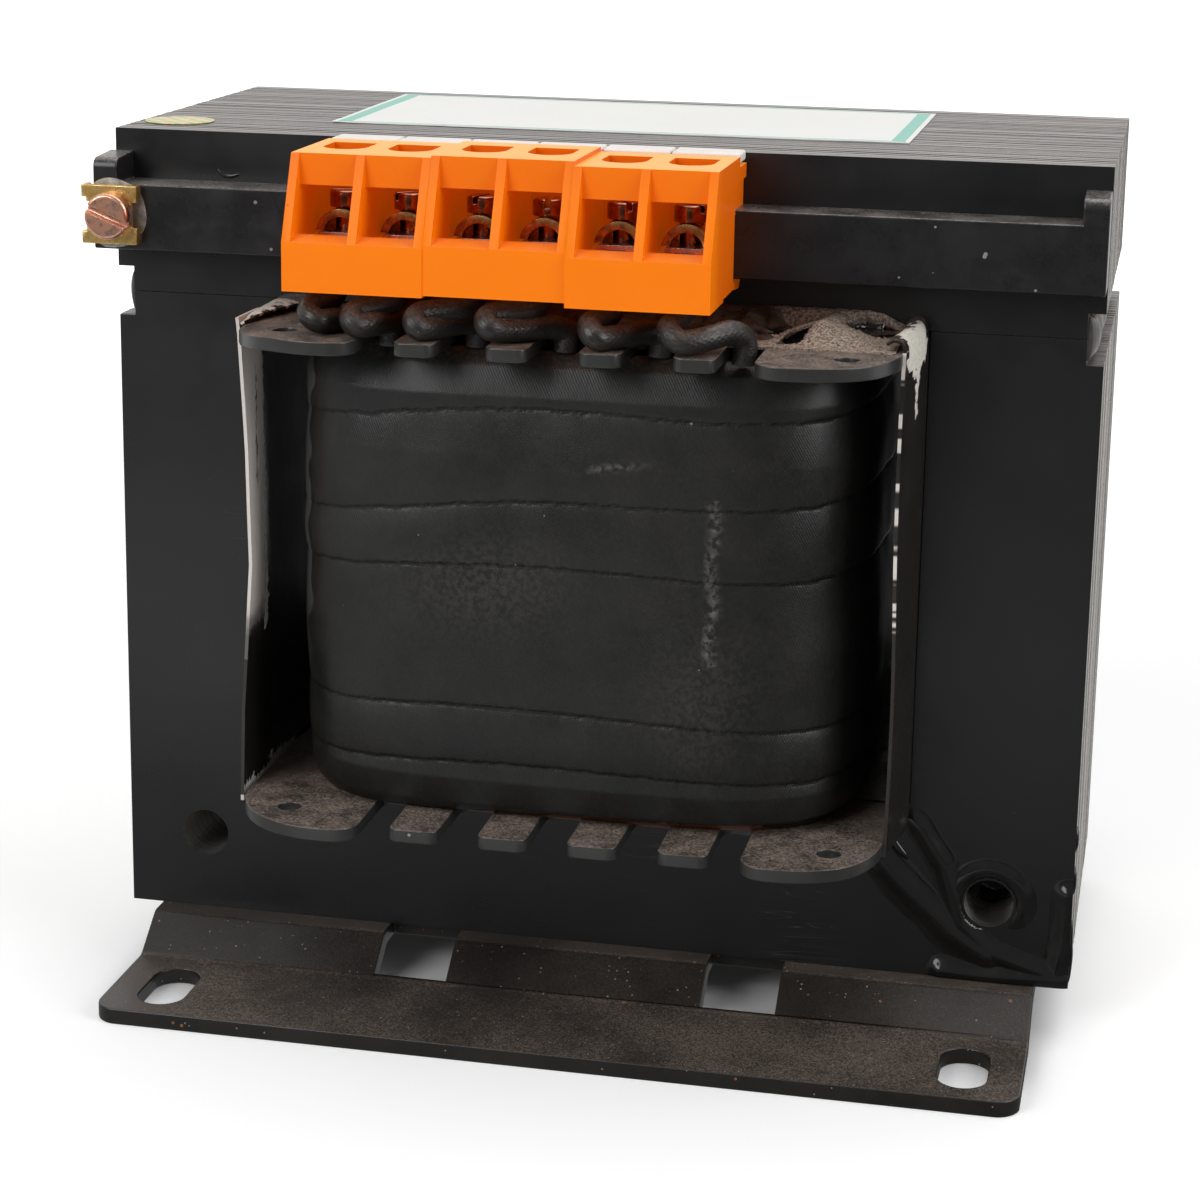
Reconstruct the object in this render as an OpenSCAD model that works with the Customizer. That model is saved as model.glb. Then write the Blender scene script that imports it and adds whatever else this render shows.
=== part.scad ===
// Laminated chassis transformer on two joggled feet, with a terminal rail,
// three clip-on two-pole terminal blocks and an earth screw.
// Origin: middle of the four foot slots, on the standing plane. +Z is up,
// X runs across the core, and the terminals face -Y.

/* [Core] */
// Width across the outer legs; every other core size follows from it
core_w = 120; // [114:1:126]
// Thickness of the stack of laminations
stack_d = 54.5; // [50:0.5:60]
// Diameter of the punched corner holes
core_hole_d = 6; // [4:0.1:7]
// Height of the weld groove over the joint of the two stacks
weld_h = 6; // [4:0.5:8]

/* [Feet] */
// Height of the core above the standing plane
foot_h = 6; // [5:0.1:8]
// Thickness of the foot sheet
foot_t = 2; // [1.5:0.1:2.5]
// Length of a foot along X
foot_l = 112; // [106:1:114]
// How far a foot stands out from the core
foot_reach = 25.25; // [22:0.25:30]
// Distance between the slots along X
slot_x = 98; // [92:0.5:99]
// Width of a mounting slot
slot_w = 5.8; // [4.5:0.1:6.5]
// Length of a mounting slot
slot_l = 11; // [8:0.5:12]

/* [Winding] */
// Thickness of the bobbin flanges
flange_t = 1.6; // [1.2:0.1:2]
// How far the bobbin flanges stand out from the core
flange_reach = 25.75; // [24:0.25:28]
// Clearance between the wrapped coil and the outer leg
coil_gap = 4; // [3:0.25:6]
// How far the wrapped coil bulges out from the core
coil_bulge = 19; // [17:0.25:20]
// Outer diameter of a sleeved lead
lead_d = 2.7; // [2.2:0.1:2.8]

/* [Terminals] */
// Height of the terminal rail
rail_h = 8; // [7:0.5:9]
// Depth of the terminal rail
rail_d = 6; // [5:0.5:7]
// Width of a two-pole terminal block
block_w = 16.4; // [15.8:0.1:17]
// How far a terminal block stands out from the core
block_reach = 23.5; // [22.5:0.25:25]
// Middle of the row of blocks, measured from the middle of the core
block_x = -6.8; // [-9:0.1:-5]
// Diameter of the earth screw's head
earth_head_d = 5.5; // [5:0.1:6]

/* [Label] */
// Length of the blank label along X
label_l = 72.5; // [60:0.5:76]
// Width of the blank label
label_w = 36; // [30:0.5:40]

/* [Hidden] */
leg = core_w/6;
face = stack_d/2;
core_z = foot_h;
seam_z = core_z + 4*leg;
top_z = core_z + 5*leg;
win_z = core_z + leg;
hole_x = core_w/2 - leg/2;
weld_d = 2;
slot_y = face + 16.9*foot_reach/25.25;
foot_r = 3;
flange_hx = 2*leg - 0.8;
flange_hy = face + flange_reach;
flange_lo = win_z + 0.2;
flange_hi = seam_z - 0.2;
tube_c = 0.3;
tube_t = 1.5;
in_hx = leg + tube_c + tube_t;
in_hy = face + tube_c + tube_t;
tongue_p = 0.535*leg;
comb_hx = leg + 2.8;
pip_in = 6.7;
tongue_end = flange_hy - 2;
slot_end = face + 11.5;
liner_reach = 14*flange_reach/25.75;
liner_x = 2*leg - 0.55;
liner_t = 0.45;
coil_z0 = flange_lo + flange_t;
coil_z1 = flange_hi - flange_t;
coil_hx = 2*leg - coil_gap;
coil_hy = face + coil_bulge;
rail_z = seam_z + leg/2 - rail_h/2;
rail_x0 = -core_w/2 - 0.7;
rail_x1 = core_w/2 - 0.1;
rail_t = 1.5;
earth_x = -core_w/2 + 2.2;
earth_z = rail_z + rail_h/2 + 0.4;
block_z = rail_z - 1;
block_top = rail_z + rail_h + 6.3;
wall = 1.0;
pole_p = block_w/2;
pocket_w = (block_w - 3*wall - 0.05)/2;
floor_z = block_z + 5.3;
strip_t = 0.6;
chamber_o = rail_d + 1.4;
screw_o = chamber_o + 0.298*(block_reach - chamber_o);
lead_o = chamber_o + 0.5093*(block_reach - chamber_o);
eps = 0.01;

// ---- shared shapes ----

function arc(cx, cy, r, a0, a1, n) =
  [for (i = [0:n]) let (t = a0 + (a1 - a0)*i/n) [cx + r*cos(t), cy + r*sin(t)]];

function round_rect(hx, hy, r, n) = concat(
  arc(hx - r, hy - r, r, 0, 90, n), arc(-hx + r, hy - r, r, 90, 180, n),
  arc(-hx + r, -hy + r, r, 180, 270, n), arc(hx - r, -hy + r, r, 270, 360, n));

// rounded oblong with slightly bowed sides, the way a wound coil settles
function oblong(hx, hy, n) = [for (i = [0:n - 1]) let (t = 360*i/n)
  [hx*sign(cos(t))*pow(abs(cos(t)), 0.42), hy*sign(sin(t))*pow(abs(sin(t)), 0.42)]];

// extrudes an outline of (outward distance, height) along X, on the front
module along_x(x0, x1) {
  translate([x0, -face, 0])
    rotate([90, 0, 90])
      linear_extrude(x1 - x0)
        mirror([1, 0]) children();
}

// a bar from y0 to y1 with its round axis along Y
module y_rod(x, z, r, y0, y1) {
  translate([x, y1, z]) rotate([90, 0, 0]) cylinder(r = r, h = y1 - y0, $fn = 48);
}

module box(x0, x1, y0, y1, z0, z1) {
  translate([x0, y0, z0]) cube([x1 - x0, y1 - y0, z1 - z0]);
}

// ---- core ----

module e_stack() {
  color([0.10, 0.10, 0.105])
  difference() {
    box(-core_w/2, core_w/2, -face, face, core_z, seam_z);
    for (s = [-1, 1]) {
      box(s*1.5*leg - leg/2, s*1.5*leg + leg/2, -face - 1, face + 1, win_z, seam_z + 1);
      y_rod(s*hole_x, core_z + leg/2, core_hole_d/2, -face - 1, face + 1);
      box(s*core_w/2 - weld_d, s*core_w/2 + weld_d, -face - 1, face + 1,
        seam_z - weld_h/2, seam_z + 1);
    }
  }
}

module i_stack() {
  color([0.10, 0.10, 0.105])
  difference() {
    box(-core_w/2, core_w/2, -face, face, seam_z, top_z);
    for (s = [-1, 1]) {
      y_rod(s*hole_x, seam_z + leg/2, core_hole_d/2, -face - 1, face + 1);
      box(s*core_w/2 - weld_d, s*core_w/2 + weld_d, -face - 1, face + 1,
        seam_z - 1, seam_z + weld_h/2);
    }
  }
}

// one crowned bead down each side groove, holding the two stacks together
module seam_welds() {
  color([0.22, 0.22, 0.23])
  for (s = [-1, 1])
    translate([s*(core_w/2 - weld_d), face - 0.4, seam_z])
      rotate([90, 0, 0])
        linear_extrude(stack_d - 0.8)
          polygon([for (p = concat([[0, weld_h/2 - 0.2], [0, -weld_h/2 + 0.2]],
            arc(-1.9, 0, 3.4, -50, 50, 10)))
            [s*max(p[0], 0), p[1]*weld_h/6]]);
}

// ---- feet ----

// section of the joggled sheet: (outward distance, height)
function foot_line(d) = concat(
  [[-20, foot_h - d]],
  arc(2.4 - 0.5*d, foot_h - 1.6 - d, 1.6, 90, 52, 4),
  [for (p = arc(8.8 - 0.5*d, foot_t + 1.6 - d, 1.6, 232, 270, 4)) p],
  [[foot_reach, foot_t - d]]);

module foot_section() {
  upper = foot_line(0);
  lower = foot_line(foot_t);
  n = len(lower);
  polygon(concat(upper, [for (i = [n - 1:-1:0]) lower[i]]));
}

module foot_slot(x) {
  for (s = [-1, 1])
    translate([x, -slot_y + s*(slot_l - slot_w)/2, -1])
      cylinder(d = slot_w, h = foot_h + 2, $fn = 48);
  box(x - slot_w/2, x + slot_w/2, -slot_y - (slot_l - slot_w)/2,
    -slot_y + (slot_l - slot_w)/2, -1, foot_h + 1);
}

module foot() {
  difference() {
    intersection() {
      along_x(-foot_l/2, foot_l/2) foot_section();
      translate([0, -face, -1]) linear_extrude(foot_h + 2)
        polygon(concat([[-foot_l/2, 22], [-foot_l/2, -foot_reach + foot_r]],
          arc(-foot_l/2 + foot_r, -foot_reach + foot_r, foot_r, 190, 260, 6),
          arc(foot_l/2 - foot_r, -foot_reach + foot_r, foot_r, 280, 350, 6),
          [[foot_l/2, 22]]));
    }
    for (s = [-1, 1]) {
      foot_slot(s*slot_x/2);
      // window through the joggle, where the sheet is welded to the stack
      box(s*20.7 - 4.6, s*20.7 + 4.6, -face - 8, -face + 1.5, -1, foot_h + 1);
    }
  }
}

module front_foot() { color([0.12, 0.11, 0.105]) foot(); }

module rear_foot() { color([0.12, 0.11, 0.105]) mirror([0, 1, 0]) foot(); }

// ---- bobbin and coil ----

// the open space in front of the comb of tongues, on the front side
module comb_space(w) {
  e = tongue_end;
  c = 1.2;
  xs = [-comb_hx, -1.5*tongue_p, -0.5*tongue_p, 0.5*tongue_p, 1.5*tongue_p, comb_hx];
  for (i = [0:4]) {
    xl = i == 0 ? xs[0] : xs[i] + w/2;
    xr = i == 4 ? xs[5] : xs[i + 1] - w/2;
    polygon(concat(
      [[xl - (i == 0 ? 0 : c), -e - 4]],
      i == 0 ? [[xl, -e]] : arc(xl - c, -e + c, c, 270, 360, 5),
      arc(xl + 1, -slot_end - 1, 1, 180, 90, 4),
      arc(xr - 1, -slot_end - 1, 1, 90, 0, 4),
      i == 4 ? [[xr, -e]] : arc(xr + c, -e + c, c, 180, 270, 5),
      [[xr + (i == 4 ? 0 : c), -e - 4]]));
  }
  translate([xs[0], -e - 4]) square([xs[5] - xs[0], 4]);
}

module flange(z, w) {
  translate([0, 0, z]) linear_extrude(flange_t)
    difference() {
      polygon(round_rect(flange_hx, flange_hy, 12, 10));
      for (s = [0, 1]) mirror([0, s]) comb_space(w);
      for (s = [-1, 1], t = [-1, 1])
        translate([s*(flange_hx - pip_in), t*(flange_hy - pip_in)]) circle(d = 2.8, $fn = 24);
    }
}

module bobbin() {
  color([0.16, 0.13, 0.12])
  difference() {
    union() {
      flange(flange_lo, 5.9);
      flange(flange_hi - flange_t, 4.8);
      translate([0, 0, flange_lo]) linear_extrude(flange_hi - flange_lo)
        polygon(round_rect(in_hx, in_hy, 1, 3));
    }
    box(-leg - tube_c, leg + tube_c, -face - tube_c, face + tube_c, 0, top_z);
  }
}

module ring(hx0, hy0, hx1, hy1) {
  translate([0, 0, coil_z0]) linear_extrude(coil_z1 - coil_z0)
    difference() {
      polygon(round_rect(hx1, hy1, 4, 6));
      polygon(round_rect(hx0, hy0, 1, 3));
    }
}

module primary_winding() {
  color([0.45, 0.22, 0.10]) ring(in_hx, in_hy, in_hx + 4.2, in_hy + 5);
}

module winding_insulation() {
  color([0.72, 0.62, 0.45])
  translate([0, 0, coil_z0]) linear_extrude(coil_z1 - coil_z0)
    difference() {
      polygon(round_rect(in_hx + 4.8, in_hy + 5.6, 4.4, 6));
      polygon(round_rect(in_hx + 4.2, in_hy + 5, 4, 6));
    }
}

// rings of the coil's outline from the lower flange to the upper one, drawn
// in at the shoulders where the turns and the tape meet the flanges
coil_steps = [[0, 3.0], [1.6, 1.5], [5, 0.4], [12, 0]];
coil_n = 48;

function coil_rings(hx, hy) =
  let (up = [for (p = coil_steps) [coil_z0 + p[0], p[1]]],
    down = [for (i = [len(coil_steps) - 1:-1:0])
      [coil_z1 - coil_steps[i][0], coil_steps[i][1]]])
  [for (p = concat(up, down)) [for (q = oblong(hx - 0.5*p[1], hy - p[1], coil_n))
    [q[0], q[1], p[0]]]];

function band(n, levels, base, out) =
  [for (i = [0:levels - 2], j = [0:n - 1], k = [0, 1]) let (j2 = (j + 1) % n,
    a = base + n*i + j, b = base + n*i + j2, c = base + n*(i + 1) + j,
    d = base + n*(i + 1) + j2, t = k == 0 ? [a, c, d] : [a, d, b])
    out ? t : [t[0], t[2], t[1]]];

function flat(v) = [for (a = v, b = a) b];

module secondary_winding() {
  color([0.50, 0.24, 0.11])
  difference() {
    r = coil_rings(coil_hx - 0.9, coil_hy - 0.9);
    m = len(r);
    polyhedron(points = flat(r), faces = concat(band(coil_n, m, 0, true),
      [[for (j = [0:coil_n - 1]) j]],
      [[for (j = [coil_n - 1:-1:0]) coil_n*(m - 1) + j]]));
    translate([0, 0, coil_z0 - 1]) linear_extrude(coil_z1 - coil_z0 + 2)
      polygon(round_rect(in_hx + 4.8, in_hy + 5.6, 4.4, 6));
  }
}

// the tape is one closed sleeve, open where the winding meets the flanges
module outer_wrap() {
  a = coil_rings(coil_hx, coil_hy);
  b = coil_rings(coil_hx - 0.9, coil_hy - 0.9);
  m = len(a);
  n = coil_n;
  k = n*m;
  color([0.10, 0.10, 0.10])
  polyhedron(points = concat(flat(a), flat(b)), faces = concat(
    band(n, m, 0, true), band(n, m, k, false),
    [for (j = [0:n - 1], t = [0, 1]) let (j2 = (j + 1) % n)
      t == 0 ? [j, j2, k + j2] : [j, k + j2, k + j]],
    [for (j = [0:n - 1], t = [0, 1]) let (j2 = (j + 1) % n, u = n*(m - 1))
      t == 0 ? [u + j, k + u + j2, u + j2] : [u + j, k + u + j, k + u + j2]]));
}

// sheet lining the outer leg; its ends fold inward over the upper flange
module liner(flap) {
  y = face + liner_reach;
  x = liner_x;
  box(x, x + liner_t, -y, y, win_z + 0.1, seam_z - 0.1);
  translate([0, -face - 0.1, 0]) rotate([90, 0, 0]) linear_extrude(liner_reach - 0.6)
    polygon([[x, seam_z - 0.4], [x + liner_t, seam_z - 0.4], [x + 0.3, seam_z + 1.0],
      [x - 0.6, seam_z + 1.9], [x - flap, seam_z + 2.2], [x - flap, seam_z + 1.75],
      [x - 0.8, seam_z + 1.45], [x - 0.1, seam_z + 0.8]]);
}

module slot_liner_left() {
  color([0.20, 0.18, 0.15]) mirror([1, 0, 0]) liner(0.3*leg);
}

// on this side the folded end runs on as a collar against the face of the core
module slot_liner_right() {
  color([0.18, 0.16, 0.14]) {
    liner(0.175*leg);
    along_x(0.65*leg, liner_x - 0.1525*leg)
      polygon([[0.05, seam_z + 2.6], [0.5, seam_z + 2.6], [0.9, seam_z + 1.3],
        [2.4, seam_z + 0.45], [6, seam_z + 0.25], [liner_reach, seam_z - 0.15],
        [liner_reach, seam_z - 0.2], [0.05, seam_z - 0.2]]);
  }
}

// ---- rail and earth terminal ----

module terminal_rail() {
  color([0.10, 0.10, 0.105])
  difference() {
    union() {
      along_x(rail_x0, rail_x1) polygon([[0, rail_z], [rail_d, rail_z],
        [rail_d, rail_z + rail_h], [0, rail_z + rail_h], [0, rail_z + rail_h - rail_t],
        [rail_d - rail_t, rail_z + rail_h - rail_t], [rail_d - rail_t, rail_z + rail_t],
        [0, rail_z + rail_t]]);
      // turned-up ears at both ends
      for (x = [rail_x0, rail_x1 - 3]) along_x(x, x + 3)
        polygon(concat([[0, rail_z], [rail_d, rail_z]],
          arc(rail_d - 1.2, rail_z + rail_h + 1.8, 1.2, 0, 80, 5),
          [[0, rail_z + rail_h + 3.3]]));
    }
    y_rod(earth_x, earth_z, 1.6, -face - rail_d - 1, -face - 1);
  }
}

module earth_clamp() {
  color([0.66, 0.58, 0.24])
  difference() {
    union() {
      box(earth_x - 3.2, earth_x + 3.2, -face - rail_d - 1.7, -face - rail_d - 0.9,
        earth_z - 3.55, earth_z + 3.55);
      for (s = [-1, 1]) {
        box(earth_x + 2.6, earth_x + 3.2, -face - rail_d - 1.7, -face - rail_d,
          earth_z + s*2.8 - 0.75, earth_z + s*2.8 + 0.75);
        box(earth_x - 3.8, earth_x - 3.2, -face - rail_d - 1.7, -face - rail_d + 0.4,
          earth_z + s*2.8 - 0.75, earth_z + s*2.8 + 0.75);
      }
    }
    y_rod(earth_x, earth_z, 1.6, -face - rail_d - 3, -face);
    for (s = [-1, 1]) box(earth_x + s*3.4 - 0.9, earth_x + s*3.4 + 0.9,
      -face - rail_d - 3, -face, earth_z - 1.5, earth_z + 1.5);
  }
}

// slotted cheese-head screw along an axis; origin under the head
module cheese_screw(head_d, head_h, shank_d, shank_l, slot_b) {
  difference() {
    union() {
      rotate_extrude($fn = 48) polygon([[0, 0], [head_d/2, 0], [head_d/2, head_h - 0.25],
        [head_d/2 - 0.25, head_h], [0, head_h]]);
      translate([0, 0, -shank_l]) cylinder(d = shank_d, h = shank_l + eps, $fn = 48);
    }
    translate([-head_d, -slot_b/2, head_h*0.5]) cube([2*head_d, slot_b, head_h]);
  }
}

module earth_screw() {
  color([0.72, 0.45, 0.33])
  translate([earth_x, -face - rail_d - 1.7, earth_z])
    rotate([90, 0, 0]) rotate([0, 0, -22])
      cheese_screw(earth_head_d, 2, 3, 5.2, 0.8);
}

// ---- terminal blocks ----

function pole_x(i) = block_x + (floor(i/2) - 1)*block_w
  + (i % 2 == 0 ? -1 : 1)*(pocket_w + wall + 0.05)/2;

module terminal_block(k) {
  x0 = block_x + (k - 1.5)*block_w;
  zs = floor_z + 0.9;
  color([1.0, 0.50, 0.02])
  difference() {
    along_x(x0, x0 + block_w) polygon([
      [rail_d, block_z], [block_reach, block_z], [block_reach, block_z + 5.6],
      [block_reach - 4.0, block_top], [4.9, block_top], [4.9, block_top - 1.2],
      [0.2, block_top - 1.2], [0.2, rail_z + rail_h], [rail_d, rail_z + rail_h],
      [rail_d, rail_z], [1.2, rail_z], [0.8, rail_z - 0.5], [1.8, rail_z - 1.4],
      [rail_d - 1.5, rail_z - 1.2]]);
    for (i = [2*k, 2*k + 1]) {
      // chamber, sloped sill and the set-back front over it
      along_x(pole_x(i) - pocket_w/2, pole_x(i) + pocket_w/2) polygon([
        [chamber_o, floor_z], [block_reach - 3, floor_z], [block_reach - 3, zs],
        [block_reach - 1.9, zs], [block_reach + 1, block_z + 5.3],
        [block_reach + 1, block_top + 1], [block_reach - 4.05, block_top + 1],
        [block_reach - 4.05, block_z + 11.7], [block_reach - 5.3, block_z + 11.7],
        [block_reach - 5.3, block_z + 12.2], [chamber_o, block_z + 12.2]]);
      // driver opening, round in front and square behind
      translate([pole_x(i), -face - screw_o, block_z + 11]) {
        cylinder(r = 2.6, h = 10, $fn = 40);
        translate([-2.6, 0, 0]) cube([5.2, 3.9, 10]);
      }
      // relief under the screw and the way in for the lead
      translate([pole_x(i), -face - screw_o, floor_z - 1.6])
        cylinder(r = 1.45, h = 3, $fn = 40);
      translate([pole_x(i), -face - lead_o, block_z - 1])
        cylinder(r = 1.5, h = 8, $fn = 40);
      translate([pole_x(i), -face - lead_o - 0.6, block_z - 0.01])
        cylinder(r1 = 2.6, r2 = 1.5, h = 1.4, $fn = 40);
    }
    // shallow panel on the side, behind the front wall
    along_x(x0 + block_w - 0.3, x0 + block_w + 1) polygon([[-1, block_z - 3],
      [block_reach - 8.9, block_z - 3], [block_reach - 8.9, block_z + 11.6],
      [-1, block_z + 12.6]]);
  }
}

module terminal_block_left() { terminal_block(0); }
module terminal_block_middle() { terminal_block(1); }
module terminal_block_right() { terminal_block(2); }

module contact_strips() {
  color([0.70, 0.55, 0.50])
  for (i = [0:5]) difference() {
    box(pole_x(i) - 2.2, pole_x(i) + 2.2, -face - lead_o - 0.8, -face - chamber_o - 0.2,
      floor_z, floor_z + strip_t);
    translate([pole_x(i), -face - screw_o, floor_z - 1]) cylinder(d = 2.54, h = 3, $fn = 40);
  }
}

module wire_clamps() {
  color([0.45, 0.30, 0.20])
  for (i = [0:5]) translate([pole_x(i), -face - screw_o, floor_z + strip_t])
    difference() {
      intersection() {
        y_rod(0, -0.43, 2.93, -2.7, 2.7);
        box(-4, 4, -3, 3, 0, 4);
      }
      y_rod(0, -0.43, 2.0, -4, 4);
      cylinder(d = 2.9, h = 8, $fn = 40);
    }
}

module terminal_screws() {
  color([0.55, 0.28, 0.16])
  for (i = [0:5])
    translate([pole_x(i), -face - screw_o, floor_z + strip_t + 2.5 + 0.02])
      rotate([0, 0, 25*i + 20]) cheese_screw(3.9, 1.95, 2.5, 4.2, 0.6);
}

module marker_tags() {
  color([0.95, 0.92, 0.90])
  for (i = [0:5])
    translate([block_x + (i - 3)*pole_p + 0.12, -face - 4.75, block_top - 1.2])
      cube([pole_p - 0.24, 4.5, 1.25]);
}

// ---- leads ----

function unit(v) = v/norm(v);

function spline(p, i, t) = let (n = len(p) - 1, a = p[max(i - 1, 0)], b = p[i],
  c = p[min(i + 1, n)], d = p[min(i + 2, n)])
  0.5*(2*b + (c - a)*t + (2*a - 5*b + 4*c - d)*t*t + (3*b - a - 3*c + d)*t*t*t);

function route(p, m) = concat(
  [for (i = [0:len(p) - 2], j = [0:m - 1]) spline(p, i, j/m)], [p[len(p) - 1]]);

// straight-sided tube swept through the points of q, eight sides
module tube(q, r) {
  n = len(q);
  dirs = [for (i = [0:n - 1]) i == 0 || i == n - 1 ? [0, 0, -1]
    : unit(q[min(i + 1, n - 1)] - q[max(i - 1, 0)])];
  side = [for (i = [0:n - 1]) let (u = cross(dirs[i], [0.62, 0.78, 0.05])) unit(u)];
  up = [for (i = [0:n - 1]) cross(dirs[i], side[i])];
  polyhedron(
    points = [for (i = [0:n - 1], j = [0:7])
      q[i] + r*cos(45*j)*side[i] + r*sin(45*j)*up[i]],
    faces = concat(
      [for (i = [0:n - 2], j = [0:7], k = [0, 1]) let (j2 = (j + 1) % 8)
        k == 0 ? [8*i + j, 8*(i + 1) + j, 8*(i + 1) + j2]
          : [8*i + j, 8*(i + 1) + j2, 8*i + j2]],
      [[for (j = [0:7]) j]], [[for (j = [7:-1:0]) 8*(n - 1) + j]]));
}

// way of each lead below its block: x, distance out from the core, and
// height over the upper flange. The ways bend to follow the block's lead
// holes and the bobbin's slots where those move.
lead_ways = [
  [[-27.5, 17.1, 3.5], [-29.2, 19.9, 2.7], [-27.8, 21.2, 1.6], [-25.4, 18.0, 1.45],
   [-22.7, 14.6, 1.45], [-20.9, 13.2, 0.6]],
  [[-20.2, 17.6, 3.5], [-23.5, 20.9, 2.8], [-23.0, 22.6, 1.6], [-21.2, 20.2, 1.45],
   [-20.5, 17.4, 1.2], [-20.5, 16.6, 0.4]],
  [[-11.6, 17.6, 3.5], [-15.9, 20.9, 2.9], [-15.6, 22.4, 1.6], [-13.6, 19.4, 1.45],
   [-11.4, 16.2, 1.4], [-10.7, 14.8, 0.6]],
  [[-3.8, 17.6, 3.5], [-7.8, 20.6, 3.1], [-7.4, 22.2, 2.0], [-5.2, 20.0, 1.5],
   [-2.0, 16.8, 1.45], [-0.3, 15.0, 0.6]],
  [[5.3, 18.0, 3.4], [3.9, 21.4, 2.8], [5.0, 22.8, 1.6], [7.0, 20.2, 1.45],
   [9.4, 16.6, 1.4], [10.7, 15.0, 0.6]],
  [[13.3, 18.2, 3.4], [12.9, 21.8, 2.7], [14.7, 22.9, 1.6], [17.3, 21.2, 2.0],
   [19.6, 18.6, 2.2], [20.7, 16.9, 1.0]]];

module lead(i) {
  w = lead_ways[i];
  x = pole_x(i);
  z = flange_hi;
  e = w[5];
  g = leg/20 - 1;
  k = lead_o - 15.6;
  low = concat([[x, -face - lead_o, block_z + 0.5]],
    [for (j = [0:5]) let (q = w[j])
      [q[0] + g*e[0]*j/5, -face - q[1] - k*(1 - j/5), z + q[2]]],
    [[e[0]*(1 + g), -face - e[1], coil_z1]]);
  color([0.13, 0.12, 0.115])
    tube(concat([[x, -face - lead_o, floor_z]], route(low, 2)), lead_d/2);
}

module lead_1() { lead(0); }
module lead_2() { lead(1); }
module lead_3() { lead(2); }
module lead_4() { lead(3); }
module lead_5() { lead(4); }
module lead_6() { lead(5); }

// ---- labels ----

module rating_label() {
  color([0.95, 0.96, 0.94])
  translate([-label_l/2 - 1.15, -label_w/2 + 4.5, top_z]) cube([label_l, label_w, 0.15]);
}

module earth_sticker() {
  color([0.55, 0.62, 0.20])
  translate([-core_w/2 + 5, -face + 9, top_z]) cylinder(d = 8.6, h = 0.12, $fn = 48);
}

e_stack();
i_stack();
seam_welds();
front_foot();
rear_foot();
bobbin();
primary_winding();
winding_insulation();
secondary_winding();
outer_wrap();
slot_liner_left();
slot_liner_right();
terminal_rail();
earth_clamp();
earth_screw();
terminal_block_left();
terminal_block_middle();
terminal_block_right();
contact_strips();
wire_clamps();
terminal_screws();
marker_tags();
lead_1();
lead_2();
lead_3();
lead_4();
lead_5();
lead_6();
rating_label();
earth_sticker();
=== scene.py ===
import bpy
import bmesh
import math
import numpy as np
from mathutils import Matrix, Vector, noise


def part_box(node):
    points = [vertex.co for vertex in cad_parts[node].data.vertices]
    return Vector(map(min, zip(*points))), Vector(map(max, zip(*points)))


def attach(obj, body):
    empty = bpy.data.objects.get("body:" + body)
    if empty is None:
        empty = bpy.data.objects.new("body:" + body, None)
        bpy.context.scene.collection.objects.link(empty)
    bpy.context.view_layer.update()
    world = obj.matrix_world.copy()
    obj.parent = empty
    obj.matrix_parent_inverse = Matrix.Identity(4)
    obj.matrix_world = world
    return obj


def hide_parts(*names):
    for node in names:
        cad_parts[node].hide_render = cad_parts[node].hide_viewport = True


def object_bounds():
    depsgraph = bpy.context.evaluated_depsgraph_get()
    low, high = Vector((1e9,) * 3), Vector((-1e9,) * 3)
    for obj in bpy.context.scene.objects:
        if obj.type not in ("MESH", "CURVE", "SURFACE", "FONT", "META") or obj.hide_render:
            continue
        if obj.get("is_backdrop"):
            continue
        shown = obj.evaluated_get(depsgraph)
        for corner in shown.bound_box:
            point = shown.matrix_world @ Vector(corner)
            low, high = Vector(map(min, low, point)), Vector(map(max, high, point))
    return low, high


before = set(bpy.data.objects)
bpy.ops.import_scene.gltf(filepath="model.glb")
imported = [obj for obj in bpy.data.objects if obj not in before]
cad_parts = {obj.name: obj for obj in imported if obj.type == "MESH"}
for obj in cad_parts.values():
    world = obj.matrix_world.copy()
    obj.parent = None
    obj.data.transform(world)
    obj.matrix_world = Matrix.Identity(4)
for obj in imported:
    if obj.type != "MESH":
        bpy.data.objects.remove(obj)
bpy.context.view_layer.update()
scene = bpy.context.scene
mm = 0.001

# ---------------------------------------------------------------- studio
# A white table with soft lamps to the left and above, open to a white room
# behind and dim towards the camera, as on a product photographer's table.
scene.view_settings.view_transform = "Standard"


def add(tree, kind, props=None, **inputs):
    """A node with its settings and inputs; an input is a value or a socket."""
    node = tree.nodes.new(kind)
    for key, value in (props or {}).items():
        setattr(node, key, value)
    for key, value in inputs.items():
        label = key.replace("_", " ")
        socket = node.inputs[int(label[1:])] if label[1:].isdigit() else node.inputs[label]
        if isinstance(value, bpy.types.NodeSocket):
            tree.links.new(value, socket)
        else:
            socket.default_value = value
    return node


def calc(tree, operation, a, b=0.0, c=0.0, clamp=False):
    props = {"operation": operation, "use_clamp": clamp}
    return add(tree, "ShaderNodeMath", props, i0=a, i1=b, i2=c).outputs[0]


def times(tree, a, b, clamp=False):
    return calc(tree, "MULTIPLY", a, b, clamp=clamp)


def plus(tree, a, b):
    return calc(tree, "ADD", a, b)


def ramp(tree, value, low, high, to_low=0.0, to_high=1.0):
    """Value stretched smoothly from low..high to to_low..to_high."""
    props = {"interpolation_type": "SMOOTHSTEP"}
    return add(tree, "ShaderNodeMapRange", props, i0=value, i1=low, i2=high, i3=to_low,
               i4=to_high).outputs[0]


def blend(tree, factor, a, b):
    return add(tree, "ShaderNodeMix", {"data_type": "RGBA"}, i0=factor, i6=a, i7=b).outputs[2]


def tint(red, green, blue):
    return (red, green, blue, 1.0)


def object_place(tree):
    return add(tree, "ShaderNodeTexCoord").outputs["Object"]


def axes(tree, vector):
    return add(tree, "ShaderNodeSeparateXYZ", Vector=vector).outputs


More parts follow.
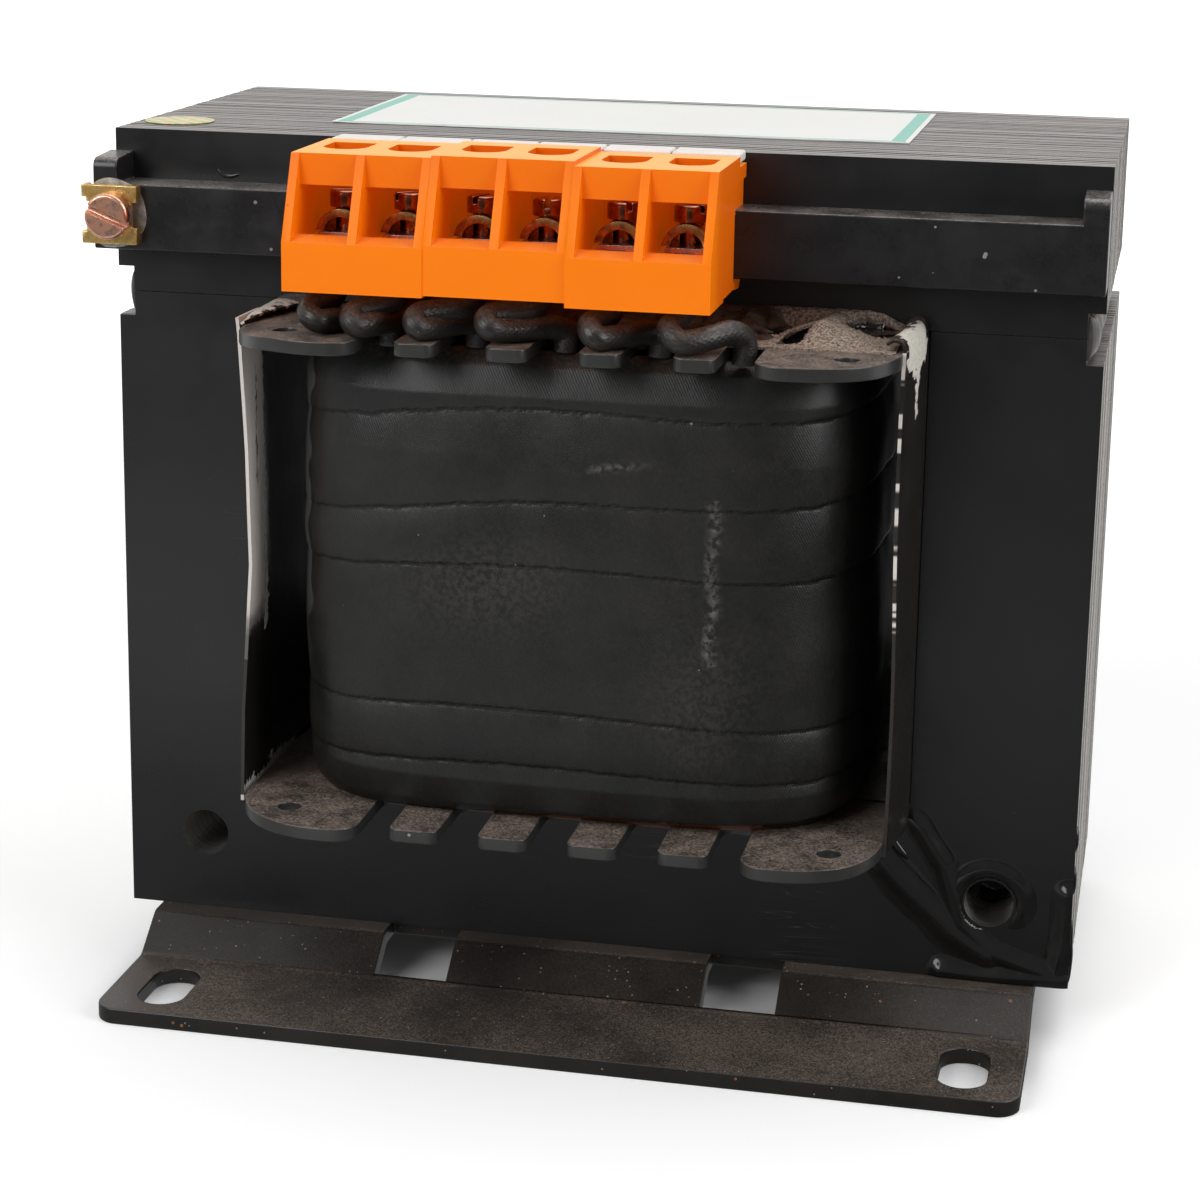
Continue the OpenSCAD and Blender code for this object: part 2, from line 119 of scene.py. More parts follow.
def make_room():
    world = bpy.data.worlds.new("room")
    scene.world = world
    world.use_nodes = True
    tree = world.node_tree
    tree.nodes.clear()
    way = add(tree, "ShaderNodeSeparateXYZ", Vector=add(tree, "ShaderNodeTexCoord").outputs["Generated"])
    path = add(tree, "ShaderNodeLightPath").outputs
    back = ramp(tree, way.outputs[1], -0.6, 0.4, 0.25, 1.0)
    left = ramp(tree, way.outputs[0], -0.8, 0.8, 1.0, 0.75)
    lit = times(tree, times(tree, back, left), 0.6)
    seen = calc(tree, "MAXIMUM", path["Is Glossy Ray"], path["Is Transmission Ray"])
    strength = add(tree, "ShaderNodeMix", i0=seen, i2=lit, i3=back).outputs[0]
    strength = add(tree, "ShaderNodeMix", i0=path["Is Camera Ray"], i2=strength, i3=1.0).outputs[0]
    shade = add(tree, "ShaderNodeBackground", Color=tint(1, 1, 1), Strength=strength)
    out = tree.nodes.new("ShaderNodeOutputWorld")
    tree.links.new(shade.outputs[0], out.inputs[0])


def make_table_top():
    mesh = bpy.data.meshes.new("table_top")
    ring = [(4*math.cos(a), 4*math.sin(a), -0.02*mm) for a in np.linspace(0, 2*math.pi, 49)[:-1]]
    mesh.from_pydata(ring, [], [list(range(48))])
    top = bpy.data.objects.new("table_top", mesh)
    scene.collection.objects.link(top)
    mat = bpy.data.materials.new("white_table")
    mat.use_nodes = True
    tree = mat.node_tree
    tree.nodes.clear()
    path = add(tree, "ShaderNodeLightPath").outputs
    place = object_place(tree)
    axis = axes(tree, place)
    away = add(tree, "ShaderNodeVectorMath", {"operation": "LENGTH"}, i0=place).outputs["Value"]
    far = ramp(tree, away, 0.15, 0.7, 0.30, 0.85)
    # Under the transformer's footprint the table's glow is taken away: a painted shadow beneath it, seen
    # through the slots of the feet.
    under = times(tree, ramp(tree, calc(tree, "ABSOLUTE", axis[1]), 0.048, 0.038),
                  ramp(tree, calc(tree, "ABSOLUTE", axis[0]), 0.060, 0.054))
    far = times(tree, far, calc(tree, "SUBTRACT", 1.0, under))
    level = times(tree, path["Is Camera Ray"], far)
    matt = add(tree, "ShaderNodeBsdfPrincipled", Base_Color=tint(0.78, 0.78, 0.78), Roughness=0.9)
    glow = add(tree, "ShaderNodeEmission", Color=tint(1, 1, 1), Strength=level)
    both = add(tree, "ShaderNodeAddShader", i0=matt.outputs[0], i1=glow.outputs[0])
    near = ramp(tree, axis[1], -0.42, -0.2, 0.08, 0.9)
    side = ramp(tree, axis[0], -0.05, 0.10, 1.0, 0.3)
    near = times(tree, near, ramp(tree, axis[1], -0.13, -0.09, 1.0, 0.35))
    ahead = ramp(tree, axis[1], -0.03, 0.03, 0.0, 0.9)
    sheen = calc(tree, "MAXIMUM", times(tree, near, side), ahead)
    mirrored = add(tree, "ShaderNodeEmission", Color=tint(1, 1, 1), Strength=sheen)
    shown = add(tree, "ShaderNodeMixShader", i0=path["Is Glossy Ray"], i1=both.outputs[0],
                i2=mirrored.outputs[0])
    tree.links.new(shown.outputs[0], tree.nodes.new("ShaderNodeOutputMaterial").inputs[0])
    mesh.materials.append(mat)
    top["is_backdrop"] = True


def lamp(name, place, aim, size, power):
    light = bpy.data.lights.new(name, "AREA")
    light.shape = "RECTANGLE"
    light.size, light.size_y = size
    light.energy = power
    obj = bpy.data.objects.new(name, light)
    obj.matrix_world = Matrix.Translation(place) @ (
        Vector(aim) - Vector(place)).to_track_quat("-Z", "Y").to_matrix().to_4x4()
    scene.collection.objects.link(obj)


def place_camera():
    turn, tilt, roll = math.radians(11.993), math.radians(13.636), math.radians(-0.847)
    back = Vector((math.sin(turn)*math.cos(tilt), -math.cos(turn)*math.cos(tilt), math.sin(tilt)))
    right = (-back).cross(Vector((0, 0, 1))).normalized()
    down = (-back).cross(right)
    across = math.cos(roll)*right + math.sin(roll)*down
    up = math.sin(roll)*right - math.cos(roll)*down
    camera = bpy.data.cameras.new("camera")
    camera.sensor_width = 36
    camera.lens = 86.36
    camera.shift_x, camera.shift_y = 0.01566, -0.08655
    obj = bpy.data.objects.new("camera", camera)
    pose = Matrix((across, up, back)).transposed().to_4x4()
    obj.matrix_world = Matrix.Translation((0.06905, -0.35867, 0.14578)) @ pose
    scene.collection.objects.link(obj)
    scene.camera = obj


make_room()
make_table_top()
place_camera()
lamp("key_lamp", (-0.6, -0.85, 0.6), (0, 0, 0.05), (0.7, 0.7), 8.0)
lamp("top_lamp", (0.1, 0.2, 1.1), (0, 0, 0.05), (1.0, 0.8), 4.5)
lamp("side_lamp", (0.9, -0.35, 0.5), (0, 0, 0.05), (0.5, 0.7), 5.5)

# ---------------------------------------------------------------- core
# Two stacks of punched silicon-steel sheets, half a millimetre thick, an E
# and an I shape, dipped in black varnish. The cut edges show at the top and
# sides as fine lines, and the front sheet is smooth and satin.
SHEET_PITCH = 0.5*mm
SHEET_THICKNESS = 0.465*mm
SHEET_SHIFT = 0.035*mm


def new_group(name, ins, outs):
    """A shader node group: its tree, the outputs of its input node and the inputs of its output."""
    tree = bpy.data.node_groups.new(name, "ShaderNodeTree")
    for label, value in ins:
        kind = "NodeSocketColor" if isinstance(value, tuple) else "NodeSocketFloat"
        tree.interface.new_socket(label, in_out="INPUT", socket_type=kind).default_value = value
    for label, kind in outs:
        tree.interface.new_socket(label, in_out="OUTPUT", socket_type="NodeSocket" + kind)
    return tree, tree.nodes.new("NodeGroupInput").outputs, tree.nodes.new("NodeGroupOutput").inputs


def facing(tree):
    """The way a surface looks, along X, Y and Z."""
    return axes(tree, add(tree, "ShaderNodeNewGeometry").outputs["Normal"])


def cloudy(tree, place, scale, detail, roughness=0.5):
    """Soft uneven patches, from 0 to 1."""
    return add(tree, "ShaderNodeTexNoise", Vector=place, Scale=scale, Detail=detail,
               Roughness=roughness).outputs["Fac"]


def make_dust_group():
    """Brown dust that settles on upward faces in patches and grains."""
    tree, given, out = new_group(
        "settled_dust",
        [("Colour", tint(0.02, 0.02, 0.02)), ("Dust", tint(0.2, 0.16, 0.13)), ("Amount", 0.5),
         ("Patch", 150.0), ("Grain", 2600.0), ("All Round", 0.05)],
        [("Colour", "Color"), ("Mask", "Float")])
    place = object_place(tree)
    normal = facing(tree)
    patch = cloudy(tree, place, given["Patch"], 5.0, 0.62)
    grain = cloudy(tree, place, given["Grain"], 2.0, 0.7)
    up = ramp(tree, normal[2], 0.25, 0.9)
    up = calc(tree, "MAXIMUM", up, given["All Round"])
    cover = times(tree, ramp(tree, patch, 0.32, 0.68, 0.35, 1.0), ramp(tree, grain, 0.35, 0.7, 0.25, 1.0))
    mask = times(tree, times(tree, up, cover), given["Amount"], clamp=True)
    tree.links.new(mask, out["Mask"])
    tree.links.new(blend(tree, mask, given["Colour"], given["Dust"]), out["Colour"])
    return tree


def make_speck_group():
    """Single pale grains and short hairs stuck in a finish."""
    tree, given, out = new_group(
        "pale_specks", [("Spacing", 900.0), ("Density", 0.2), ("Size", 0.28)], [("Mask", "Float")])
    place = object_place(tree)
    cell = add(tree, "ShaderNodeTexVoronoi", Vector=place, Scale=given["Spacing"])
    chosen = add(tree, "ShaderNodeSeparateColor", Color=cell.outputs["Color"])
    picked = calc(tree, "LESS_THAN", chosen.outputs[0], given["Density"])
    size = times(tree, given["Size"], chosen.outputs[1])
    near = calc(tree, "LESS_THAN", cell.outputs["Distance"], size)
    tree.links.new(times(tree, picked, near), out["Mask"])
    return tree


def make_scratch_group():
    """Short fine scratches in a few directions, thin lines where two noises cross."""
    tree, given, out = new_group(
        "fine_scratches", [("Scale", 60.0), ("Amount", 0.5)], [("Mask", "Float")])
    place = object_place(tree)
    lines = None
    for turn, stretch in ((0.5, 14.0), (-0.9, 20.0)):
        spun = add(tree, "ShaderNodeMapping", Vector=place, Rotation=(0, turn, 0),
                   Scale=(1.0, 1.0, stretch)).outputs[0]
        wave = cloudy(tree, spun, given["Scale"], 1.0)
        line = ramp(tree, calc(tree, "ABSOLUTE", calc(tree, "SUBTRACT", wave, 0.5)), 0.0, 0.006, 1.0, 0.0)
        lines = line if lines is None else calc(tree, "MAXIMUM", lines, line)
    patch = cloudy(tree, place, given["Scale"], 2.0)
    patch = ramp(tree, patch, 0.6, 0.72)
    tree.links.new(times(tree, times(tree, lines, patch), given["Amount"]), out["Mask"])
    return tree


DUST, SPECKS, SCRATCHES = make_dust_group(), make_speck_group(), make_scratch_group()


def use(tree, group, **inputs):
    node = add(tree, "ShaderNodeGroup", {"node_tree": group}, **inputs)
    return node.outputs


def new_finish(name, **shader_inputs):
    """An empty material with its shader; returns material, tree and shader."""
    mat = bpy.data.materials.new(name)
    mat.use_nodes = True
    tree = mat.node_tree
    tree.nodes.clear()
    shader = add(tree, "ShaderNodeBsdfPrincipled", **shader_inputs)
    tree.links.new(shader.outputs[0], tree.nodes.new("ShaderNodeOutputMaterial").inputs[0])
    return mat, tree, shader


def bump(tree, shader, height, depth, strength=1.0):
    node = add(tree, "ShaderNodeBump", Height=height, Distance=depth, Strength=strength)
    tree.links.new(node.outputs[0], shader.inputs["Normal"])


def core_finish():
    """Black varnish over the sheets; the cut edges are streaked sheet by sheet, and the faces along X carry a
    pale painted sheen.
    """
    mat, tree, shader = new_finish("varnished_sheets", IOR=1.5)
    place = object_place(tree)
    axis = axes(tree, place)
    normal = facing(tree)
    front = ramp(tree, calc(tree, "ABSOLUTE", normal[1]), 0.5, 0.9)
    sheet = calc(tree, "FLOOR", calc(tree, "DIVIDE", axis[1], SHEET_PITCH))
    tone = add(tree, "ShaderNodeTexWhiteNoise", {"noise_dimensions": "1D"}, W=sheet).outputs["Value"]
    along = add(tree, "ShaderNodeMapping", Vector=place, Scale=(60.0, 2600.0, 60.0)).outputs[0]
    streak = cloudy(tree, along, 1.0, 4.0, 0.6)
    cloud = cloudy(tree, place, 70.0, 5.0, 0.6)
    worn = times(tree, ramp(tree, streak, 0.35, 0.75), ramp(tree, cloud, 0.3, 0.7, 0.4, 1.0))
    worn = times(tree, worn, calc(tree, "MULTIPLY_ADD", tone, 0.6, 0.5))
    edge = blend(tree, worn, tint(0.22, 0.205, 0.195), tint(0.55, 0.52, 0.49))
    face = blend(tree, cloud, tint(0.005, 0.005, 0.0055), tint(0.009, 0.0088, 0.009))
    # Faces that look along X are painted pale: a painted sheen of grazing light on the sides of the stacks,
    # over the streaked cut edges.
    side = ramp(tree, calc(tree, "ABSOLUTE", normal[0]), 0.5, 0.9, 0.0, 0.6)
    edge = blend(tree, side, edge, tint(0.80, 0.76, 0.70))
    colour = blend(tree, front, edge, face)
    dust = use(tree, DUST, Colour=colour, Dust=tint(0.24, 0.20, 0.17), Amount=0.35, Patch=90.0, Grain=1800.0,
               All_Round=0.02)
    specks = use(tree, SPECKS, Spacing=800.0, Density=0.11, Size=0.15)["Mask"]
    scratches = use(tree, SCRATCHES, Scale=45.0, Amount=0.5)["Mask"]
    marks = calc(tree, "MAXIMUM", times(tree, specks, 0.5), times(tree, scratches, 0.35))
    tree.links.new(blend(tree, marks, dust["Colour"], tint(0.32, 0.30, 0.28)), shader.inputs["Base Color"])
    bare = times(tree, calc(tree, "SUBTRACT", 1.0, front), 0.75)
    tree.links.new(bare, shader.inputs["Metallic"])
    rough = blend(tree, front, tint(0.36, 0.36, 0.36), tint(0.26, 0.26, 0.26))
    rough = plus(tree, rough, times(tree, ramp(tree, cloud, 0.3, 0.7), 0.10))
    tree.links.new(plus(tree, rough, times(tree, marks, 0.3)), shader.inputs["Roughness"])
    peel = cloudy(tree, place, 700.0, 3.0)
    height = plus(tree, times(tree, peel, 0.25), times(tree, streak, 0.5))
    height = plus(tree, height, times(tree, marks, 0.8))
    bump(tree, shader, height, 0.03*mm, 0.6)
    return mat


def punched_sheet(node):
    """One sheet's outline in the XZ plane, taken from the front face of its stack."""
    source = bmesh.new()
    source.from_mesh(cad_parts[node].data)
    bmesh.ops.remove_doubles(source, verts=source.verts, dist=1e-6)
    front = min(v.co.y for v in source.verts)
    away = [f for f in source.faces if max(v.co.y for v in f.verts) > front + 1e-5]
    bmesh.ops.delete(source, geom=away, context="FACES")
    middle = Vector(sum((np.array(c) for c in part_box(node)), np.zeros(3))/2)
    for v in source.verts:
        for k in (0, 2):
            room = abs(v.co[k] - middle[k])
            v.co[k] = middle[k] + (v.co[k] - middle[k])*(1 - SHEET_SHIFT/max(room, 9*mm))
        v.co.y = 0
    mesh = bpy.data.meshes.new(node + "_sheet")
    source.to_mesh(mesh)
    source.free()
    return mesh, front


def make_stacking_tree():
    """Geometry nodes that thicken one sheet and stack copies of it along Y."""
    tree = bpy.data.node_groups.new("sheet_stacking", "GeometryNodeTree")
    face = tree.interface
    face.new_socket("Geometry", in_out="INPUT", socket_type="NodeSocketGeometry")
    for label, kind, value in (("Sheets", "Int", 109), ("Pitch", "Float", SHEET_PITCH),
                               ("Thickness", "Float", SHEET_THICKNESS), ("Shift", "Float", SHEET_SHIFT),
                               ("Start", "Float", 0.0), ("Seed", "Int", 3)):
        face.new_socket(label, in_out="INPUT", socket_type="NodeSocket" + kind).default_value = value
    face.new_socket("Finish", in_out="INPUT", socket_type="NodeSocketMaterial")
    face.new_socket("Geometry", in_out="OUTPUT", socket_type="NodeSocketGeometry")
    given, out = tree.nodes.new("NodeGroupInput").outputs, tree.nodes.new("NodeGroupOutput").inputs
    lift = add(tree, "ShaderNodeCombineXYZ", Y=given["Thickness"]).outputs[0]
    raised = add(tree, "GeometryNodeExtrudeMesh", Mesh=given["Geometry"], Offset=lift, Individual=False)
    both = tree.nodes.new("GeometryNodeJoinGeometry")
    tree.links.new(raised.outputs["Mesh"], both.inputs[0])
    tree.links.new(add(tree, "GeometryNodeFlipFaces", Mesh=given["Geometry"]).outputs[0], both.inputs[0])
    sheet = add(tree, "GeometryNodeMergeByDistance", Geometry=both.outputs[0], Distance=1e-6).outputs[0]
    step = add(tree, "ShaderNodeCombineXYZ", Y=given["Pitch"]).outputs[0]
    first = add(tree, "ShaderNodeCombineXYZ", Y=given["Start"]).outputs[0]
    row = add(tree, "GeometryNodeMeshLine", {"mode": "OFFSET"}, Count=given["Sheets"], Start_Location=first,
              Offset=step).outputs[0]
    away = times(tree, given["Shift"], -1.0)
    low = add(tree, "ShaderNodeCombineXYZ", X=away, Z=away).outputs[0]
    high = add(tree, "ShaderNodeCombineXYZ", X=given["Shift"], Z=given["Shift"]).outputs[0]
    random = add(tree, "FunctionNodeRandomValue", {"data_type": "FLOAT_VECTOR"}, i0=low, i1=high,
                 Seed=given["Seed"]).outputs[0]
    row = add(tree, "GeometryNodeSetPosition", Geometry=row, Offset=random).outputs[0]
    placed = add(tree, "GeometryNodeInstanceOnPoints", Points=row, Instance=sheet).outputs[0]
    real = add(tree, "GeometryNodeRealizeInstances", Geometry=placed).outputs[0]
    done = add(tree, "GeometryNodeSetMaterial", Geometry=real, Material=given["Finish"]).outputs[0]
    tree.links.new(done, out["Geometry"])
    return tree


def run_nodes(name, mesh, tree, **values):
    """The plain mesh that a geometry-nodes tree makes of this one."""
    obj = bpy.data.objects.new(name, mesh)
    scene.collection.objects.link(obj)
    modifier = obj.modifiers.new("nodes", "NODES")
    modifier.node_group = tree
    for item in tree.interface.items_tree:
        if item.in_out == "INPUT" and item.name.replace(" ", "_") in values:
            modifier[item.identifier] = values[item.name.replace(" ", "_")]
    done = bpy.data.meshes.new_from_object(obj.evaluated_get(bpy.context.evaluated_depsgraph_get()))
    obj.modifiers.clear()
    bpy.data.objects.remove(obj)
    done.name = name
    return done


def piece(name, mesh, slot, *nodes):
    """Puts a finished mesh on the transformer, in place of the named CAD nodes."""
    obj = bpy.data.objects.new(name, mesh)
    scene.collection.objects.link(obj)
    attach(obj, "root")
    if nodes:
        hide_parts(*nodes)
    return obj


SHEETS = core_finish()
STACKING = make_stacking_tree()
for node, name, seed in (("e_stack", "e_sheets", 3), ("i_stack", "i_sheets", 8)):
    outline, front = punched_sheet(node)
    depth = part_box(node)[1][1] - front
    count = round(depth/SHEET_PITCH)
    stack = run_nodes(name, outline, STACKING, Sheets=count, Pitch=depth/count,
                      Thickness=depth/count - (SHEET_PITCH - SHEET_THICKNESS), Shift=SHEET_SHIFT,
                      Start=front, Seed=seed, Finish=SHEETS)
    piece(name, stack, "core", node)

# ---------------------------------------------------------------- welds
# A bead of weld metal run down the groove on each side of the core, over the
# joint of the two stacks, and dipped in the same varnish.


def from_cad(node, name, breadth, segments=2, sharp=35, corners=None, join=True):
    """A copy of a CAD node with its facets joined and its arrises broken by breadth.

    Upright front corners at a distance from the middle can be rounded more."""
    shape = bmesh.new()
    shape.from_mesh(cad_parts[node].data)
    bmesh.ops.remove_doubles(shape, verts=shape.verts, dist=2e-6)
    if join:
        bmesh.ops.dissolve_limit(shape, angle_limit=math.radians(0.5), verts=shape.verts, edges=shape.edges)
    if corners:
        place, radius = corners
        upright = [e for e in shape.edges if abs(e.verts[0].co.z - e.verts[1].co.z) > 1*mm and all(
            abs(abs(v.co.x) - place) < 0.1*mm and abs(v.co.y) > 52*mm for v in e.verts)]
        bmesh.ops.bevel(shape, geom=upright, offset=radius, segments=6, profile=0.5, affect="EDGES")
    edges = [e for e in shape.edges if len(e.link_faces) == 2 and e.calc_face_angle() > math.radians(sharp)]
    if breadth:
        bmesh.ops.bevel(shape, geom=edges, offset=breadth, segments=segments, profile=0.5,
                        affect="EDGES", clamp_overlap=True)
    bmesh.ops.triangulate(shape, faces=[f for f in shape.faces if len(f.verts) > 4])
    mesh = bpy.data.meshes.new(name)
    shape.to_mesh(mesh)
    shape.free()
    mesh.materials.clear()
    return mesh


def smooth(obj, angle=40):
    """Smooth shading with flat faces kept flat."""
    obj.data.shade_smooth()
    obj.data.set_sharp_from_angle(angle=math.radians(angle))
    modifier = obj.modifiers.new("flat_faces", "WEIGHTED_NORMAL")
    modifier.keep_sharp = True
    modifier.weight = 100
    return obj


def turn_faces_out(mesh):
    shape = bmesh.new()
    shape.from_mesh(mesh)
    bmesh.ops.recalc_face_normals(shape, faces=shape.faces)
    shape.to_mesh(mesh)
    shape.free()


def dress(mesh, mat, slot, *nodes, angle=40):
    """Gives a mesh its finish and puts it on the transformer."""
    mesh.materials.append(mat)
    return smooth(piece(mesh.name, mesh, slot, *nodes), angle)


def weld_bead(name, side):
    """A crowned bead with ripples along Y, closed at both ends."""
    low, high = (np.array(c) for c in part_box("seam_welds"))
    root, middle = 58*mm*side, (low[2] + high[2])/2
    reach = high[0] - 58*mm
    rows, turns = 220, 12
    points = []
    for i in range(rows):
        y = low[1] + (high[1] - low[1])*i/(rows - 1)
        ripple = abs(math.sin(y/(1.7*mm)*math.pi))**0.6
        ends = min(1.0, 0.35 + min(i, rows - 1 - i)/9)
        wander = noise.noise((y*180, side*3.1, 0.7))
        for j in range(turns):
            a = math.pi*(j/(turns - 1) - 0.5)
            crown = reach*ends*(0.74 + 0.16*ripple + 0.1*wander)*math.cos(a)**0.8
            half = (high[2] - middle)*(0.86 + 0.06*ripple + 0.08*wander)
            points.append((root + side*max(crown, 0), y, middle + half*math.sin(a)))
    faces = []
    for i in range(rows - 1):
        for j in range(turns):
            k = (j + 1) % turns
            faces.append((turns*i + j, turns*i + k, turns*(i + 1) + k, turns*(i + 1) + j))
    faces += [tuple(range(turns)), tuple(turns*(rows - 1) + j for j in range(turns))]
    mesh = bpy.data.meshes.new(name)
    mesh.from_pydata(points, [], faces)
    turn_faces_out(mesh)
    return mesh


def weld_finish():
    mat, tree, shader = new_finish("varnished_weld", Metallic=0.2, IOR=1.5)
    place = object_place(tree)
    cloud = cloudy(tree, place, 400.0, 4.0)
    base = blend(tree, cloud, tint(0.02, 0.02, 0.02), tint(0.09, 0.08, 0.075))
    dust = use(tree, DUST, Colour=base, Amount=0.5)
    tree.links.new(dust["Colour"], shader.inputs["Base Color"])
    tree.links.new(ramp(tree, cloud, 0.3, 0.7, 0.28, 0.5), shader.inputs["Roughness"])
    bump(tree, shader, cloud, 0.05*mm)
    return mat


WELD = weld_finish()
beads = [weld_bead("weld_bead_" + word, side) for word, side in (("left", -1), ("right", 1))]
for number, bead in enumerate(beads):
    dress(bead, WELD, "weld", *(["seam_welds"] if number == 0 else []), angle=60)

# ---------------------------------------------------------------- feet
# Two joggled sheet-steel feet, 2 mm thick, welded under the core. The varnish
# on them is thin and grey-brown with settled dust, and bare at the arrises.


def foot_finish():
    mat, tree, shader = new_finish("dusty_foot", IOR=1.5)
    place = object_place(tree)
    cloud = cloudy(tree, place, 110.0, 6.0, 0.65)
    grain = cloudy(tree, place, 2200.0, 2.0)
    base = blend(tree, ramp(tree, cloud, 0.3, 0.7), tint(0.006, 0.0055, 0.005), tint(0.014, 0.012, 0.0105))
    normal = facing(tree)
    flat = ramp(tree, normal[2], 0.86, 0.98, 0.18, 0.75)
    dust = use(tree, DUST, Colour=base, Dust=tint(0.20, 0.155, 0.125), Amount=flat, Patch=60.0, Grain=4200.0,
               All_Round=0.03)
    rust = use(tree, SPECKS, Spacing=900.0, Density=0.035, Size=0.24)["Mask"]
    specks = use(tree, SPECKS, Spacing=2000.0, Density=0.16, Size=0.26)["Mask"]
    colour = blend(tree, times(tree, rust, 0.7), dust["Colour"], tint(0.30, 0.11, 0.035))
    colour = blend(tree, times(tree, specks, 0.55), colour, tint(0.38, 0.31, 0.25))
    tree.links.new(colour, shader.inputs["Base Color"])
    rough = ramp(tree, dust["Mask"], 0.05, 0.5, 0.34, 0.72)
    tree.links.new(rough, shader.inputs["Roughness"])
    height = plus(tree, times(tree, grain, 0.6), times(tree, cloud, 1.4))
    height = plus(tree, height, times(tree, dust["Mask"], 0.6))
    bump(tree, shader, height, 0.05*mm, 0.7)
    return mat


FOOT = foot_finish()
for node in ("front_foot", "rear_foot"):
    mesh = from_cad(node, node + "_sheet", 0.3*mm, 3)
    dress(mesh, FOOT, "foot", node)

# ---------------------------------------------------------------- bobbin
# A moulded glass-filled nylon bobbin: a square tube round the centre leg with
# a flange at each end. Each flange has two rounded lobes and a comb of four
# tongues that guides the leads. Its tops are brown with dust in the varnish.


def bobbin_finish():
    mat, tree, shader = new_finish("dusty_nylon", IOR=1.53)
    place = object_place(tree)
    normal = facing(tree)
    cloud = cloudy(tree, place, 260.0, 5.0, 0.6)
    base = blend(tree, cloud, tint(0.012, 0.012, 0.012), tint(0.030, 0.029, 0.028))
    dust = use(tree, DUST, Colour=base, Dust=tint(0.27, 0.20, 0.155), Amount=0.95, Patch=300.0, Grain=3000.0,
               All_Round=0.02)
    pits = use(tree, SPECKS, Spacing=1900.0, Density=0.16, Size=0.34)["Mask"]
    pale = use(tree, SPECKS, Spacing=1100.0, Density=0.07, Size=0.22)["Mask"]
    up = ramp(tree, normal[2], 0.5, 0.9)
    colour = blend(tree, times(tree, times(tree, pits, up), 0.8), dust["Colour"],
                   tint(0.02, 0.016, 0.014))
    colour = blend(tree, times(tree, pale, 0.5), colour, tint(0.5, 0.44, 0.38))
    tree.links.new(colour, shader.inputs["Base Color"])
    rough = ramp(tree, dust["Mask"], 0.05, 0.45, 0.27, 0.8)
    tree.links.new(plus(tree, rough, times(tree, cloud, 0.12)), shader.inputs["Roughness"])
    grain = cloudy(tree, place, 2600.0, 2.0)
    height = plus(tree, times(tree, times(tree, grain, up), 1.2), times(tree, cloud, 1.0))
    bump(tree, shader, height, 0.05*mm, 0.8)
    return mat


NYLON = bobbin_finish()
mesh = from_cad("bobbin", "bobbin_moulding", 0.62*mm, 4, corners=(22.8*mm, 3.0*mm))
for v in mesh.vertices:
    # the right liner presses the front lobe in a little, the left lobe hangs
    depth = min(max((-v.co.y/mm - 29)/11, 0), 1)
    v.co.x -= depth*min(max(v.co.x/mm - 35, 0)/4.2, 1)*1.0*mm
    v.co.z -= depth*min(max(-v.co.x/mm - 33, 0)/6, 1)*0.7*mm*(v.co.z > 50*mm)
dress(mesh, NYLON, "bobbin", "bobbin")

# ---------------------------------------------------------------- windings
# Layers of enamelled copper wire round the tube, a wrap of pressboard between
# the primary and the secondary. They lie under the tape, so the CAD rings stay.


def winding_finish():
    mat, tree, shader = new_finish("enamelled_wire", Metallic=0.75, Roughness=0.32)
    place = object_place(tree)
    turns = add(tree, "ShaderNodeTexWave", {"bands_direction": "Z"}, Vector=place, Scale=180.0,
                Distortion=0.4, Detail=1.0).outputs["Fac"]
    colour = blend(tree, turns, tint(0.20, 0.07, 0.025), tint(0.52, 0.22, 0.09))
    tree.links.new(colour, shader.inputs["Base Color"])
    bump(tree, shader, turns, 0.2*mm)
    return mat


def pressboard_finish():
    mat, tree, shader = new_finish("pressboard", Roughness=0.8)
    place = object_place(tree)
    fibre = cloudy(tree, place, 900.0, 6.0, 0.7)
    colour = blend(tree, fibre, tint(0.36, 0.27, 0.16), tint(0.62, 0.5, 0.33))
    tree.links.new(colour, shader.inputs["Base Color"])
    bump(tree, shader, fibre, 0.04*mm)
    return mat


def refinish(node, mat):
    """Gives a CAD node that stays its own finish."""
    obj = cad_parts[node]
    obj.data.materials.clear()
    obj.data.materials.append(mat)


WIRE, PRESSBOARD = winding_finish(), pressboard_finish()
refinish("primary_winding", WIRE)
refinish("secondary_winding", WIRE)
refinish("winding_insulation", PRESSBOARD)

# ---------------------------------------------------------------- tape wrap
# Black cotton twill tape wound over the finished coil in broad overlapping
# turns and soaked in varnish. It bulges out of the window in front and behind,
# is drawn in at both flanges, and ends in a frayed edge low down.
TAPE_THICKNESS = 0.22*mm
COIL_LOW, COIL_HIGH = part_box("outer_wrap")
COIL_ROWS, COIL_TURNS = 226, 420
# Height of each overlap over the standing plane in front, and its rise along X
TAPE_EDGES = ((28.3, 0.045), (34.7, 0.01), (41.5, 0.0), (58.8, 0.022), (66.5, 0.064), (77.2, 0.04))


def coil_outline(steps):
    """Evenly spaced points round the coil's rounded oblong, with outward directions."""
    t = np.linspace(0, 2*np.pi, 6001)[:-1]
    half_x, half_y = COIL_HIGH[0], COIL_HIGH[1]
    x = half_x*np.sign(np.cos(t))*np.abs(np.cos(t))**0.42
    y = half_y*np.sign(np.sin(t))*np.abs(np.sin(t))**0.42
    step = np.hypot(np.diff(x, append=x[0]), np.diff(y, append=y[0]))
    length = np.concatenate([[0], np.cumsum(step)])
    want = np.linspace(0, length[-1], steps + 1)[:-1]
    x = np.interp(want, length, np.append(x, x[0]))
    y = np.interp(want, length, np.append(y, y[0]))
    dx, dy = np.roll(x, -1) - np.roll(x, 1), np.roll(y, -1) - np.roll(y, 1)
    size = np.hypot(dx, dy)
    return x, y, dy/size, -dx/size, want


